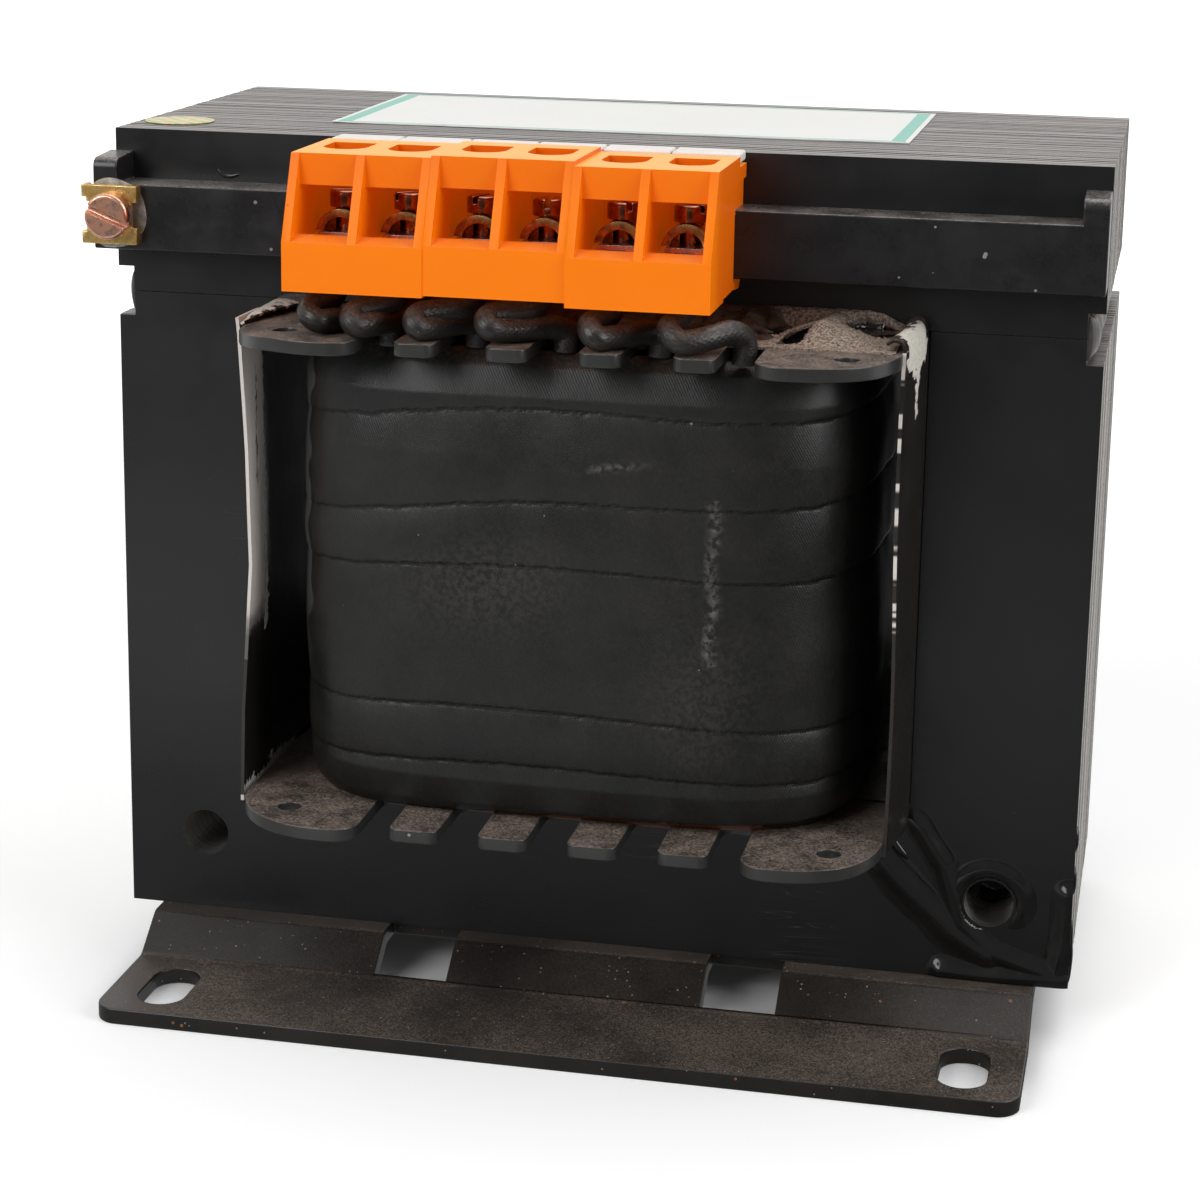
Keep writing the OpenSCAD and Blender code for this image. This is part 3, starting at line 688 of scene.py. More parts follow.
def tape_lift(x, z, along):
    """How far the tape stands out at a height, and how near that is to an overlap."""
    wobble = 0.35*mm*math.sin(along*95) + 0.12*mm*noise.noise((along*900, z*100, 4))
    edges = [h*mm + rise*x + wobble*(1 + 0.3*k) for k, (h, rise) in enumerate(TAPE_EDGES)]
    below = COIL_LOW[2]
    for edge in edges:
        if z >= edge:
            below = edge
    above = min([e for e in edges if e > z] + [COIL_HIGH[2]])
    part = (z - below)/max(above - below, 1e-6)
    first = below == COIL_LOW[2]
    lift = -0.8*mm if first else TAPE_THICKNESS*(1 - part)**0.7
    pillow = 0.28*mm*math.sin(math.pi*min(max(part, 0), 1))**0.7
    gap = min(abs(z - e) for e in edges)
    return lift + (0 if first else pillow), math.exp(-(gap/(0.22*mm))**2)


def wrap_scuff(point):
    """Pale rubbed marks on the front of the tape, as strength from 0 to 1."""
    x, y, z = (c/mm for c in point)
    if y > -20:
        return 0.0
    mark = 0.0
    if 49 < z < 68.5:
        mark = math.exp(-((x - 17.9 - 0.25*math.sin(z*0.7))/0.55)**2)*(0.45 + 0.5*math.sin(z*1.9)**2)
    mark = max(mark, 0.55*math.exp(-((x - 6)/3.4)**2 - ((z - 71 - 0.12*x)/0.5)**2))
    mark = max(mark, 0.16*math.exp(-((x + 9)/9)**2 - ((z - 57)/5.5)**2))
    return max(mark, 0.12*math.exp(-((x - 17)/6)**2 - ((z - 45)/9)**2))


def wrap_mesh():
    x, y, nx, ny, along = coil_outline(COIL_TURNS)
    low, high = COIL_LOW[2], COIL_HIGH[2]
    points, seams, scuffs = [], [], []
    for i in range(COIL_ROWS):
        z = low + (high - low)*i/(COIL_ROWS - 1)
        end = min(z - low, high - z)/mm
        drawn = np.interp(end, [0, 0.8, 1.6, 5, 12], [3.0, 2.1, 1.5, 0.4, 0.0])*mm
        for j in range(COIL_TURNS):
            lift, seam = tape_lift(x[j], z, along[j])
            soft = noise.fractal((x[j]*55, y[j]*55, z*42), 0.9, 2.1, 3)*0.30*mm
            out = lift + soft - 0.5*mm - drawn*(0.5 + 0.5*abs(ny[j]))
            points.append((x[j] + nx[j]*out, y[j] + ny[j]*out, z))
            seams.append(seam)
            scuffs.append(wrap_scuff(points[-1]))
    faces = []
    for i in range(COIL_ROWS - 1):
        for j in range(COIL_TURNS):
            k = (j + 1) % COIL_TURNS
            faces.append((COIL_TURNS*i + j, COIL_TURNS*i + k, COIL_TURNS*(i + 1) + k, COIL_TURNS*(i + 1) + j))
    top = COIL_TURNS*(COIL_ROWS - 1)
    faces += [tuple(reversed(range(COIL_TURNS))), tuple(top + j for j in range(COIL_TURNS))]
    mesh = bpy.data.meshes.new("tape_wrap")
    mesh.from_pydata(points, [], faces)
    for label, values in (("seam", seams), ("scuff", scuffs)):
        mesh.attributes.new(label, "FLOAT", "POINT").data.foreach_set("value", values)
    chart = mesh.uv_layers.new(name="tape")
    corner = np.empty(len(mesh.loops), dtype=np.int32)
    mesh.loops.foreach_get("vertex_index", corner)
    around = along[corner % COIL_TURNS]
    first = corner.reshape(-1)[:(COIL_ROWS - 1)*COIL_TURNS*4].reshape(-1, 4) % COIL_TURNS
    wraps = (first.max(axis=1) - first.min(axis=1) > COIL_TURNS//2)
    lift = np.zeros(len(corner))
    lift[:len(first)*4] = ((first < COIL_TURNS//2) & wraps[:, None]).reshape(-1)*(along[-1] + along[1])
    height = np.array([p[2] for p in points])[corner]
    chart.data.foreach_set("uv", np.stack([(around + lift)*100, height*100], 1).reshape(-1))
    return mesh


def sheet_chart(tree, name):
    """Distance along and across a wound or laid sheet."""
    return axes(tree, add(tree, "ShaderNodeUVMap", {"uv_map": name}).outputs[0])


def point_mark(tree, name):
    """A value that the mesh keeps at its points."""
    return add(tree, "ShaderNodeAttribute", {"attribute_name": name}).outputs["Fac"]


def make_weave_group():
    """A twill seen close: fine diagonal ribs crossed by single threads."""
    tree, given, out = new_group(
        "twill_weave", [("U", 0.0), ("V", 0.0), ("Threads", 30.0), ("Slant", 0.5)], [("Height", "Float")])
    u = times(tree, given["U"], given["Threads"])
    v = times(tree, given["V"], given["Threads"])
    slope = plus(tree, u, times(tree, v, given["Slant"]))
    rib = calc(tree, "MULTIPLY_ADD", calc(tree, "SINE", times(tree, slope, 2*math.pi)), 0.5, 0.5)
    thread = calc(tree, "MULTIPLY_ADD", calc(tree, "SINE", times(tree, v, 4*math.pi)), 0.5, 0.5)
    tree.links.new(plus(tree, times(tree, rib, 0.7), times(tree, thread, 0.3)), out["Height"])
    return tree


WEAVE = make_weave_group()


def tape_finish():
    mat, tree, shader = new_finish("varnished_tape", IOR=1.48, Specular_IOR_Level=0.38)
    chart = sheet_chart(tree, "tape")
    place = object_place(tree)
    cloud = cloudy(tree, place, 120.0, 5.0, 0.6)
    fine = cloudy(tree, place, 1500.0, 3.0)
    weave = use(tree, WEAVE, U=chart[0], V=chart[1], Threads=30.0, Slant=0.55)["Height"]
    seam = point_mark(tree, "seam")
    scuff = point_mark(tree, "scuff")
    stitch = add(tree, "ShaderNodeTexNoise", {"noise_dimensions": "1D"},
                 W=times(tree, chart[0], 9.0), Scale=1.0, Detail=2.0).outputs["Fac"]
    # Near each overlap the tape is painted almost black in broken dashes: painted shade under the lip of each
    # turn, broken like a stitched selvage.
    dark = times(tree, seam, ramp(tree, stitch, 0.35, 0.6, 0.35, 1.0))
    base = blend(tree, ramp(tree, cloud, 0.3, 0.7), tint(0.0045, 0.0045, 0.0045), tint(0.010, 0.0097, 0.0092))
    base = blend(tree, times(tree, weave, 0.3), base, tint(0.015, 0.0145, 0.0135))
    base = blend(tree, times(tree, dark, 0.8), base, tint(0.002, 0.002, 0.002))
    axis = axes(tree, place)
    # A paler film lies along the coil's left. Its colour fades to a fifth towards the coil's left edge, a
    # painted shade where the coil turns away from the light.
    wave = add(tree, "ShaderNodeTexNoise", {"noise_dimensions": "1D"}, W=axis[2], Scale=160.0, Detail=1.0)
    line = calc(tree, "MULTIPLY_ADD", wave.outputs["Fac"], 0.004, axis[0])
    film = times(tree, ramp(tree, line, -0.0299, -0.0302), ramp(tree, line, -0.0345, -0.0315, 0.2, 1.0))
    film = times(tree, film, ramp(tree, axis[2], 0.040, 0.056))
    base = blend(tree, film, base, tint(0.050, 0.049, 0.049))
    rub = times(tree, scuff, ramp(tree, fine, 0.38, 0.62))
    base = blend(tree, times(tree, rub, 0.55), base, tint(0.21, 0.19, 0.175))
    specks = use(tree, SPECKS, Spacing=600.0, Density=0.06, Size=0.15)["Mask"]
    dust = use(tree, DUST, Colour=base, Dust=tint(0.14, 0.12, 0.10), Amount=0.5, Patch=160.0, Grain=2000.0,
               All_Round=0.10)
    tree.links.new(blend(tree, times(tree, specks, 0.4), dust["Colour"], tint(0.4, 0.37, 0.34)),
                   shader.inputs["Base Color"])
    rough = calc(tree, "MULTIPLY_ADD", cloud, 0.25, 0.26)
    tree.links.new(plus(tree, rough, times(tree, rub, 0.25)), shader.inputs["Roughness"])
    height = plus(tree, times(tree, weave, 0.22), times(tree, fine, 0.45))
    height = plus(tree, height, times(tree, dark, -1.6))
    bump(tree, shader, height, 0.07*mm, 0.8)
    return mat


mesh = wrap_mesh()
mesh.materials.append(tape_finish())
mesh.shade_smooth()
piece("tape_wrap", mesh, "wrap", "outer_wrap")

# ---------------------------------------------------------------- slot liners
# A sheet of varnished pressboard down each outer leg, standing out of the
# window in front and behind. Its ends are folded in over the upper flange, and
# paper shows pale where the varnish has flaked off the folds and edges.


def slab(name, rows, thickness, **marks):
    """A closed sheet of even thickness over a grid of points; marks are kept as point values."""
    grid = np.array(rows, dtype=float)
    across, along = np.gradient(grid, axis=0), np.gradient(grid, axis=1)
    normal = np.cross(across, along)
    normal /= np.maximum(np.linalg.norm(normal, axis=2, keepdims=True), 1e-12)
    n, m = grid.shape[:2]
    points = np.concatenate([(grid + normal*thickness/2).reshape(-1, 3),
                             (grid - normal*thickness/2).reshape(-1, 3)])
    faces = []
    for i in range(n - 1):
        for j in range(m - 1):
            a = m*i + j
            faces.append((a, a + m, a + m + 1, a + 1))
            faces.append(tuple(n*m + k for k in (a, a + 1, a + m + 1, a + m)))
    ring = [j for j in range(m)] + [m*i + m - 1 for i in range(1, n)]
    ring += [m*(n - 1) + j for j in range(m - 2, -1, -1)] + [m*i for i in range(n - 2, 0, -1)]
    faces += [(a, b, b + n*m, a + n*m) for a, b in zip(ring, ring[1:] + ring[:1])]
    mesh = bpy.data.meshes.new(name)
    mesh.from_pydata(points.tolist(), [], faces)
    turn_faces_out(mesh)
    for label, values in marks.items():
        values = np.array(values, dtype=float).reshape(-1)
        mesh.attributes.new(label, "FLOAT", "POINT").data.foreach_set("value", np.tile(values, 2))
    return mesh


def ease(value, low, high):
    """0 below low, 1 above high, and smooth between; works either way round."""
    part = min(max((value - low)/(high - low), 0.0), 1.0)
    return part*part*(3 - 2*part)


def jag(a, b, size):
    return size*noise.fractal((a*0.9, b*0.9, 2.7), 0.7, 2.2, 4)


def liner_sheet(side):
    """The upright sheet on one side, with its bare places and, on the left, a painted highlight along its
    hem.
    """
    ys = np.concatenate([np.linspace(-41.25, -25, 60), np.linspace(-24, 41.25, 24)])
    zs = np.linspace(26.1, 85.9, 150)
    rows, bare = [], []
    for y in ys:
        front = ease(y, -31, -41.25)
        row = []
        for z in zs:
            wave = noise.noise((y*0.09, z*0.05, 5.0 + side))*0.12*(0.3 + front)
            if side < 0:
                inward = np.interp(z, (26, 38, 56, 70, 84, 86), (-0.45, -0.25, 0.95, 0.6, -0.1, -0.3))
            else:
                inward = 1.25 + 0.25*math.sin(z*0.11)
            row.append(((side*(39.68 - inward*front + wave))*mm, y*mm, z*mm))
            bare.append(liner_bare(side, y, z))
        rows.append(row)
    return slab("liner_sheet", rows, 0.4*mm, bare=bare)


def liner_bare(side, y, z):
    """How far the varnish has gone at a place on a liner, with a painted highlight along the left liner's
    hem.
    """
    edge_y, edge_z = y, z
    y, z = y + jag(y, z, 0.6), z + jag(z, y, 0.9)
    if side < 0:
        # Down the left liner's inner face, behind its front edge, runs a pale strip: a painted highlight of
        # light on the curved hem, cut by a dark line.
        slit = ease(abs(y + 37.2 - (z - 72)*0.09), 0.5, 0.0)*ease(abs(z - 72), 9, 5)
        painted_hem_highlight = 0.62*ease(y, -32.8, -34.6)*ease(z, 44, 53)*(1 - 0.9*slit)
        off_line = abs(y + 33.2 - (z - 50)*0.06)
        flake = 1.0 if 46.5 < z < 54 and off_line < 0.16*(54 - z)**0.6 + 0.2 else 0.0
        worn_z = 27.9 + ease(y, -36, -30)*ease(y, -24, -27)
        foot = 1.0 if z < worn_z and -41.2 < y < -20 else 0.0
        edge = 0.22 if edge_y < -41.0 and edge_z > 44 else 0.0
        return max(painted_hem_highlight, flake, foot, edge)
    patch = 1.0 if z > 82.5 + 0.35*abs(y + 35.5) and -40.3 < y < -30.5 else 0.0
    streak = 1.0 if 76.5 < z < 84 and abs(y + 35.2) < 0.12*(z - 76.5)**0.9 else 0.0
    edge = 0.1
    if edge_y < -41.1 and edge_z > 31:
        edge = 0.75*ease(jag(z*0.5, 3, 1.0) + (z - 62)*0.02, 0.0, 0.25)
    return max(patch, streak, edge)


def liner_fold(side, front):
    """The end of a liner folded over the upper flange, in front or behind."""
    rows, bare = [], []
    for out in np.linspace(0.1, 13.95, 44):
        y = (27.25 + out)*(-1 if front else 1)
        lean = ease(out, 4, 14)*(1.25 if side > 0 and front else 0)
        if side < 0 and front:
            top = np.interp(out, (0, 5, 10.5, 14), (87.4, 86.9, 86.3, 85.1))
            reach = np.interp(out, (0, 4, 9, 14), (6.2, 4.2, 2.2, 0.5))
            end = 86.0 - 0.6*ease(out, 9, 14)
        else:
            top, reach, end = 88.7 - 0.5*ease(out, 9, 14), 2.0, 87.2 - 0.5*ease(out, 6, 14)
        row = []
        for t in np.linspace(0, 1, 14):
            x = (1 - t)**2*39.68 + 2*t*(1 - t)*39.75 + t*t*(39.6 - reach)
            z = (1 - t)**2*85.0 + 2*t*(1 - t)*top + t*t*end
            crumple = noise.fractal((x*0.5, y*0.35, side*3.0), 0.8, 2.0, 3)*0.22*t
            row.append((side*(x - lean)*mm, y*mm, (z + crumple)*mm))
            pale = jag(x, y, 0.5) + t
            if side < 0:
                bare.append(0.95 if front and 0.18 < pale < 0.9 and out > 3 else 0.1)
            else:
                bare.append(1.0 if front and pale < 0.75 and 3.5 < out + jag(y, x, 1.2) < 12.2 else 0.0)
        rows.append(row)
    return slab("liner_fold", rows, 0.3*mm, bare=bare)


def liner_finish():
    mat, tree, shader = new_finish("varnished_board", IOR=1.5)
    place = object_place(tree)
    bare = point_mark(tree, "bare")
    cloud = cloudy(tree, place, 180.0, 5.0, 0.6)
    fibre = cloudy(tree, place, 2400.0, 3.0)
    base = blend(tree, cloud, tint(0.006, 0.006, 0.006), tint(0.022, 0.019, 0.016))
    dust = use(tree, DUST, Colour=base, Dust=tint(0.24, 0.185, 0.145), Amount=0.8, Patch=300.0, Grain=3000.0,
               All_Round=0.03)["Colour"]
    paper = blend(tree, fibre, tint(0.36, 0.33, 0.28), tint(0.80, 0.78, 0.70))
    pale = ramp(tree, plus(tree, bare, times(tree, calc(tree, "SUBTRACT", fibre, 0.5), 0.5)), 0.25, 0.75)
    # Middling values give a pale grey: flaked varnish at the edges, and on the left liner the painted
    # highlight of the hem.
    half = blend(tree, ramp(tree, bare, 0.1, 0.6), dust, tint(0.62, 0.57, 0.53))
    tree.links.new(blend(tree, ramp(tree, bare, 0.68, 0.85), half, paper), shader.inputs["Base Color"])
    tree.links.new(ramp(tree, bare, 0.1, 0.6, 0.22, 0.6), shader.inputs["Roughness"])
    bump(tree, shader, plus(tree, cloud, times(tree, pale, 0.5)), 0.12*mm, 0.7)
    return mat


LINER = liner_finish()
for node, side in (("slot_liner_left", -1), ("slot_liner_right", 1)):
    sheet = liner_sheet(side)
    folds = [liner_fold(side, True), liner_fold(side, False)]
    for number, mesh in enumerate([sheet] + folds):
        mesh.name = node + ("_sheet", "_front_fold", "_rear_fold")[number]
        dress(mesh, LINER, "liner", *([node] if number == 0 else []), angle=50)

# ---------------------------------------------------------------- flange cover
# Varnish and dust lying on the front of the upper flange: a collar of folded
# paper against the core with a peak on the right lobe, black pools of varnish
# beside it, and a brown crust between the leads.
FLANGE_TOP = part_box("bobbin")[1][2]/mm


def bowl(x, out, mid_x, mid_out, half_x, half_out):
    """1 in the middle of an oval and 0 outside it."""
    return max(0.0, 1 - ((x - mid_x)/half_x)**2 - ((out - mid_out)/half_out)**2)


def right_cover(x, out):
    """Height over the flange, and how black and glossy it is there."""
    ridge = 2.15*(1 - ease(out, 0.3, 2.6))*(1 - 0.75*ease(x, 33, 38))
    spread = math.hypot((x - 28.3)/(6.2 if x > 28.3 else 5.0), (out - 8.6)/(5.0 if out > 8.6 else 9.5))
    peak = 2.25*max(0, 1 - spread)**0.85
    spine = 2.0*math.exp(-((x - 28.3 - (8.6 - out)*0.12)/2.3)**2)*(1 - ease(out, 7.5, 9.5))
    crease = 0.35*math.exp(-((x - 29.2 - (out - 9)*0.85)/0.35)**2)*ease(out, 8.8, 9.6)*(1 - ease(out, 12, 13))
    pool = max(bowl(x, out, 20.6, 5.2, 4.6, 4.2), bowl(x, out, 33.6, 3.6, 3.6, 3.4))
    window = 1.0 if 24.2 < x + 0.25*(out - 9) < 27.4 and 8.4 < out < 12.6 else 0.0
    height = max(ridge, peak, spine) - crease
    height = height*(1 - ease(pool, 0.02, 0.22)) + 0.35*ease(pool, 0.02, 0.22)
    rim = 0.3*math.exp(-((pool - 0.06)/0.05)**2)
    fade = ease(out, 14.6, 12.2)*ease(x, 12.2, 15)
    height = (height + rim)*fade + 0.10*noise.fractal((x*0.9, out*0.9, 3), 0.8, 2, 4)
    return height - 0.35*window, max(ease(pool, 0.08, 0.2), 0.9*window, 0.55*(1 - ease(x, 19, 24)))


def comb_cover(x, out):
    crust = 0.55 + 0.8*noise.fractal((x*0.28, out*0.35, 7), 0.9, 2, 4)
    back = 1.5*(1 - ease(out, 0.5, 5))
    fade = ease(out, 12.2, 9.5)*ease(abs(x), 24.5, 22)
    return (crust + back)*fade - 0.1, 0.55 + 0.4*noise.noise((x*0.5, out*0.5, 1))


def cover_mesh(name, height_at, x_range, out_range, pitch):
    rows, gloss = [], []
    for x in np.arange(x_range[0], x_range[1] + pitch, pitch):
        row = []
        for out in np.arange(out_range[0], out_range[1] + pitch, pitch):
            height, black = height_at(x, out)
            row.append((x*mm, (-27.3 - out)*mm, (FLANGE_TOP + max(height, -0.6))*mm))
            gloss.append(black)
        rows.append(row)
    return slab(name, rows, 0.3*mm, gloss=gloss)


def cover_finish():
    mat, tree, shader = new_finish("dust_in_varnish", IOR=1.5)
    place = object_place(tree)
    gloss = point_mark(tree, "gloss")
    cloud = cloudy(tree, place, 500.0, 5.0, 0.65)
    grain = cloudy(tree, place, 3600.0, 2.0)
    sand = blend(tree, ramp(tree, grain, 0.35, 0.65), tint(0.10, 0.075, 0.055), tint(0.36, 0.285, 0.225))
    crust = blend(tree, cloud, tint(0.012, 0.009, 0.008), tint(0.10, 0.062, 0.042))
    base = blend(tree, ramp(tree, gloss, 0.1, 0.5), sand, crust)
    base = blend(tree, ramp(tree, gloss, 0.6, 0.85), base, tint(0.003, 0.003, 0.003))
    pits = use(tree, SPECKS, Spacing=1500.0, Density=0.14, Size=0.36)["Mask"]
    tree.links.new(blend(tree, times(tree, pits, 0.75), base, tint(0.012, 0.01, 0.009)),
                   shader.inputs["Base Color"])
    tree.links.new(ramp(tree, calc(tree, "MULTIPLY_ADD", cloud, 0.3, gloss), 0.3, 1.0, 0.75, 0.07),
                   shader.inputs["Roughness"])
    flat = ramp(tree, gloss, 0.6, 0.85, 1.0, 0.15)
    height = times(tree, plus(tree, grain, times(tree, cloud, 1.6)), flat)
    bump(tree, shader, height, 0.10*mm, 0.9)
    return mat


COVER = cover_finish()
for name, height_at, x_range, out_range in (
        ("right_lobe_cover", right_cover, (12.5, 37.4), (0.1, 14.6)),
        ("comb_crust", comb_cover, (-24.5, 24.5), (0.1, 12.0))):
    mesh = cover_mesh(name, height_at, x_range, out_range, 0.3)
    dress(mesh, COVER, "liner", angle=60)

# ---------------------------------------------------------------- terminal rail
# A folded channel of sheet steel across the core with turned-up ears, dipped
# with the core. The varnish is thin on its arrises and dusty on top.


def rail_finish():
    mat, tree, shader = new_finish("varnished_rail", IOR=1.5)
    place = object_place(tree)
    height = axes(tree, place)[2]
    cloud = cloudy(tree, place, 150.0, 5.0, 0.6)
    base = blend(tree, cloud, tint(0.005, 0.005, 0.0055), tint(0.011, 0.0105, 0.011))
    bare = times(tree, ramp(tree, height, 0.0998, 0.1000), ramp(tree, cloud, 0.3, 0.5, 0.4, 1.0))
    amount = calc(tree, "MULTIPLY_ADD", bare, 0.5, 0.3)
    dust = use(tree, DUST, Colour=base, Dust=tint(0.30, 0.27, 0.25), Amount=amount, Patch=200.0,
               Grain=2400.0, All_Round=0.05)["Colour"]
    specks = use(tree, SPECKS, Spacing=520.0, Density=0.10, Size=0.18)["Mask"]
    scratches = use(tree, SCRATCHES, Scale=60.0, Amount=0.5)["Mask"]
    marks = calc(tree, "MAXIMUM", times(tree, specks, 0.6), times(tree, scratches, 0.3))
    tree.links.new(blend(tree, marks, dust, tint(0.36, 0.33, 0.30)), shader.inputs["Base Color"])
    tree.links.new(ramp(tree, cloud, 0.3, 0.7, 0.24, 0.38), shader.inputs["Roughness"])
    bump(tree, shader, plus(tree, cloud, times(tree, marks, 0.6)), 0.04*mm, 0.7)
    return mat


mesh = from_cad("terminal_rail", "terminal_channel", 0.35*mm, 3)
dress(mesh, rail_finish(), "rail", "terminal_rail")

# ---------------------------------------------------------------- earth terminal
# A yellow-passivated steel plate with tabs under a coppered cheese-head screw,
# on a place where the varnish has been scraped off the rail.


def metal_finish(name, dark, light, low=0.22, high=0.42, metal=1.0, coat=0.0, spread=900.0):
    mat, tree, shader = new_finish(name, Metallic=metal, Coat_Weight=coat, Coat_Roughness=0.08)
    place = object_place(tree)
    cloud = cloudy(tree, place, spread, 5.0, 0.6)
    fine = cloudy(tree, place, 5200.0, 3.0)
    tree.links.new(blend(tree, ramp(tree, cloud, 0.32, 0.68), dark, light), shader.inputs["Base Color"])
    tree.links.new(ramp(tree, cloud, 0.3, 0.7, high, low), shader.inputs["Roughness"])
    bump(tree, shader, plus(tree, cloud, times(tree, fine, 0.4)), 0.04*mm, 0.6)
    return mat


mesh = from_cad("earth_clamp", "earth_plate", 0.14*mm, 2)
YELLOW = metal_finish("yellow_passivate", tint(0.40, 0.24, 0.07), tint(0.76, 0.52, 0.20), metal=0.85)
dress(mesh, YELLOW, "clamp_plate", "earth_clamp")
mesh = from_cad("earth_screw", "earth_cheese_head", 0.22*mm, 3)
COPPERED = metal_finish("coppered_steel", tint(0.58, 0.27, 0.17), tint(0.86, 0.52, 0.40), 0.2, 0.38)
dress(mesh, COPPERED, "earth_screw", "earth_screw")


def scraped_mark():
    """A thin bright disc with a ragged edge on the rail behind the plate."""
    middle = (np.array(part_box("earth_clamp")[0]) + np.array(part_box("earth_clamp")[1]))/2
    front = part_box("terminal_rail")[0][1]
    rows = []
    for radius in np.linspace(0.02, 1, 9):
        row = []
        for turn in np.linspace(0, 2*math.pi, 61):
            ragged = 4.2 + 0.35*noise.noise((math.cos(turn)*1.5, math.sin(turn)*1.5, 8))
            x = middle[0]/mm + radius*ragged*math.cos(turn)
            z = middle[2]/mm + radius*ragged*math.sin(turn)
            row.append((max(x, -60.6)*mm, front, min(max(z, 92.2), 101.5)*mm))
        rows.append(row)
    return slab("scraped_mark", rows, 0.05*mm)


mesh = scraped_mark()
dress(mesh, metal_finish("scraped_steel", tint(0.30, 0.28, 0.26), tint(0.62, 0.60, 0.58), 0.4, 0.6), "rail")

# ---------------------------------------------------------------- terminal blocks
# Three two-pole blocks moulded in bright orange nylon, clipped over the rail
# side by side. The middle one rides a little high and the right one low.


def orange_finish():
    # The nylon also glows faintly in its own colour: painted light that lifts the orange.
    mat, tree, shader = new_finish("orange_nylon", IOR=1.5, Roughness=0.36, Specular_IOR_Level=0.15,
                                   Emission_Strength=0.2)
    place = object_place(tree)
    normal = facing(tree)
    axis = axes(tree, place)
    cloud = cloudy(tree, place, 140.0, 3.0)
    # Parts behind the blocks' front faces are painted a deeper orange: painted shade in the chambers and
    # behind the front walls.
    deep = ramp(tree, axis[1], -0.0495, -0.044)
    base = blend(tree, cloud, tint(0.74, 0.155, 0.0002), tint(0.79, 0.175, 0.0005))
    base = blend(tree, times(tree, deep, 0.75), base, tint(0.62, 0.095, 0.0005))
    # Upward faces high on the blocks are painted a paler orange: a painted highlight from the light above.
    up = ramp(tree, normal[2], 0.55, 0.95)
    base = blend(tree, times(tree, up, ramp(tree, axis[2], 0.101, 0.104)), base, tint(0.90, 0.36, 0.03))
    dust = use(tree, DUST, Colour=base, Dust=tint(0.62, 0.35, 0.2), Amount=0.25, Patch=300.0, Grain=3000.0)
    grime = use(tree, SPECKS, Spacing=900.0, Density=0.05, Size=0.14)["Mask"]
    colour = blend(tree, times(tree, grime, 0.5), dust["Colour"], tint(0.25, 0.06, 0.01))
    tree.links.new(colour, shader.inputs["Base Color"])
    tree.links.new(colour, shader.inputs["Emission Color"])
    fine = cloudy(tree, place, 1800.0, 3.0)
    bump(tree, shader, fine, 0.015*mm, 0.6)
    return mat


ORANGE = orange_finish()
for node, back, rise in (("terminal_block_left", 0, 0), ("terminal_block_middle", 0.15, 0.25),
                         ("terminal_block_right", -0.15, -0.25)):
    mesh = from_cad(node, node.replace("terminal_block", "orange_block"), 0.12*mm, 2, join=False)
    mesh.transform(Matrix.Translation((0, back*mm, rise*mm)))
    dress(mesh, ORANGE, "housing", node)

# ---------------------------------------------------------------- terminal metal
# In each chamber: a plated strip across the floor, an arched brass clamp that
# bites on the wire, and a lacquered cheese-head screw down through both.
STRIP = metal_finish("plated_strip", tint(0.34, 0.22, 0.18), tint(0.66, 0.50, 0.44))
BRASS = metal_finish("yellow_brass", tint(0.20, 0.10, 0.035), tint(0.60, 0.37, 0.14), coat=0.3)
LACQUERED = metal_finish("lacquered_screw", tint(0.13, 0.035, 0.015), tint(0.38, 0.14, 0.065),
                         0.12, 0.28, coat=0.7)
for node, slot, name, breadth, mat in (
        ("contact_strips", "contact", "plated_strips", 0.08, STRIP),
        ("wire_clamps", "wire_clamp", "arched_clamps", 0.14, BRASS),
        ("terminal_screws", "terminal_screw", "lacquered_screws", 0.22, LACQUERED)):
    mesh = from_cad(node, name, breadth*mm, 3)
    dress(mesh, mat, slot, node)

# ---------------------------------------------------------------- marker tags
# Six blank white plastic tags clipped in a row along the back of the blocks.


def tag_finish():
    mat, tree, shader = new_finish("white_tag", Roughness=0.42, IOR=1.46)
    place = object_place(tree)
    cloud = cloudy(tree, place, 500.0, 4.0)
    base = blend(tree, cloud, tint(0.74, 0.66, 0.62), tint(0.86, 0.82, 0.79))
    tree.links.new(use(tree, DUST, Colour=base, Dust=tint(0.42, 0.36, 0.31), Amount=0.3)["Colour"],
                   shader.inputs["Base Color"])
    bump(tree, shader, cloud, 0.02*mm)
    return mat


mesh = from_cad("marker_tags", "blank_tags", 0.32*mm, 4)
dress(mesh, tag_finish(), "tag", "marker_tags")

# ---------------------------------------------------------------- leads
# Six leads in braided black sleeves drop from the blocks, loop over the comb
# of the bobbin and go down between its tongues; dust lies on their tops.
SLEEVE_RADIUS = 1.42*mm
BLOCK_PITCH, POLE_PITCH = 16.4*mm, 7.725*mm
FIRST_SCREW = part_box("terminal_screws")[0][0] + 1.95*mm
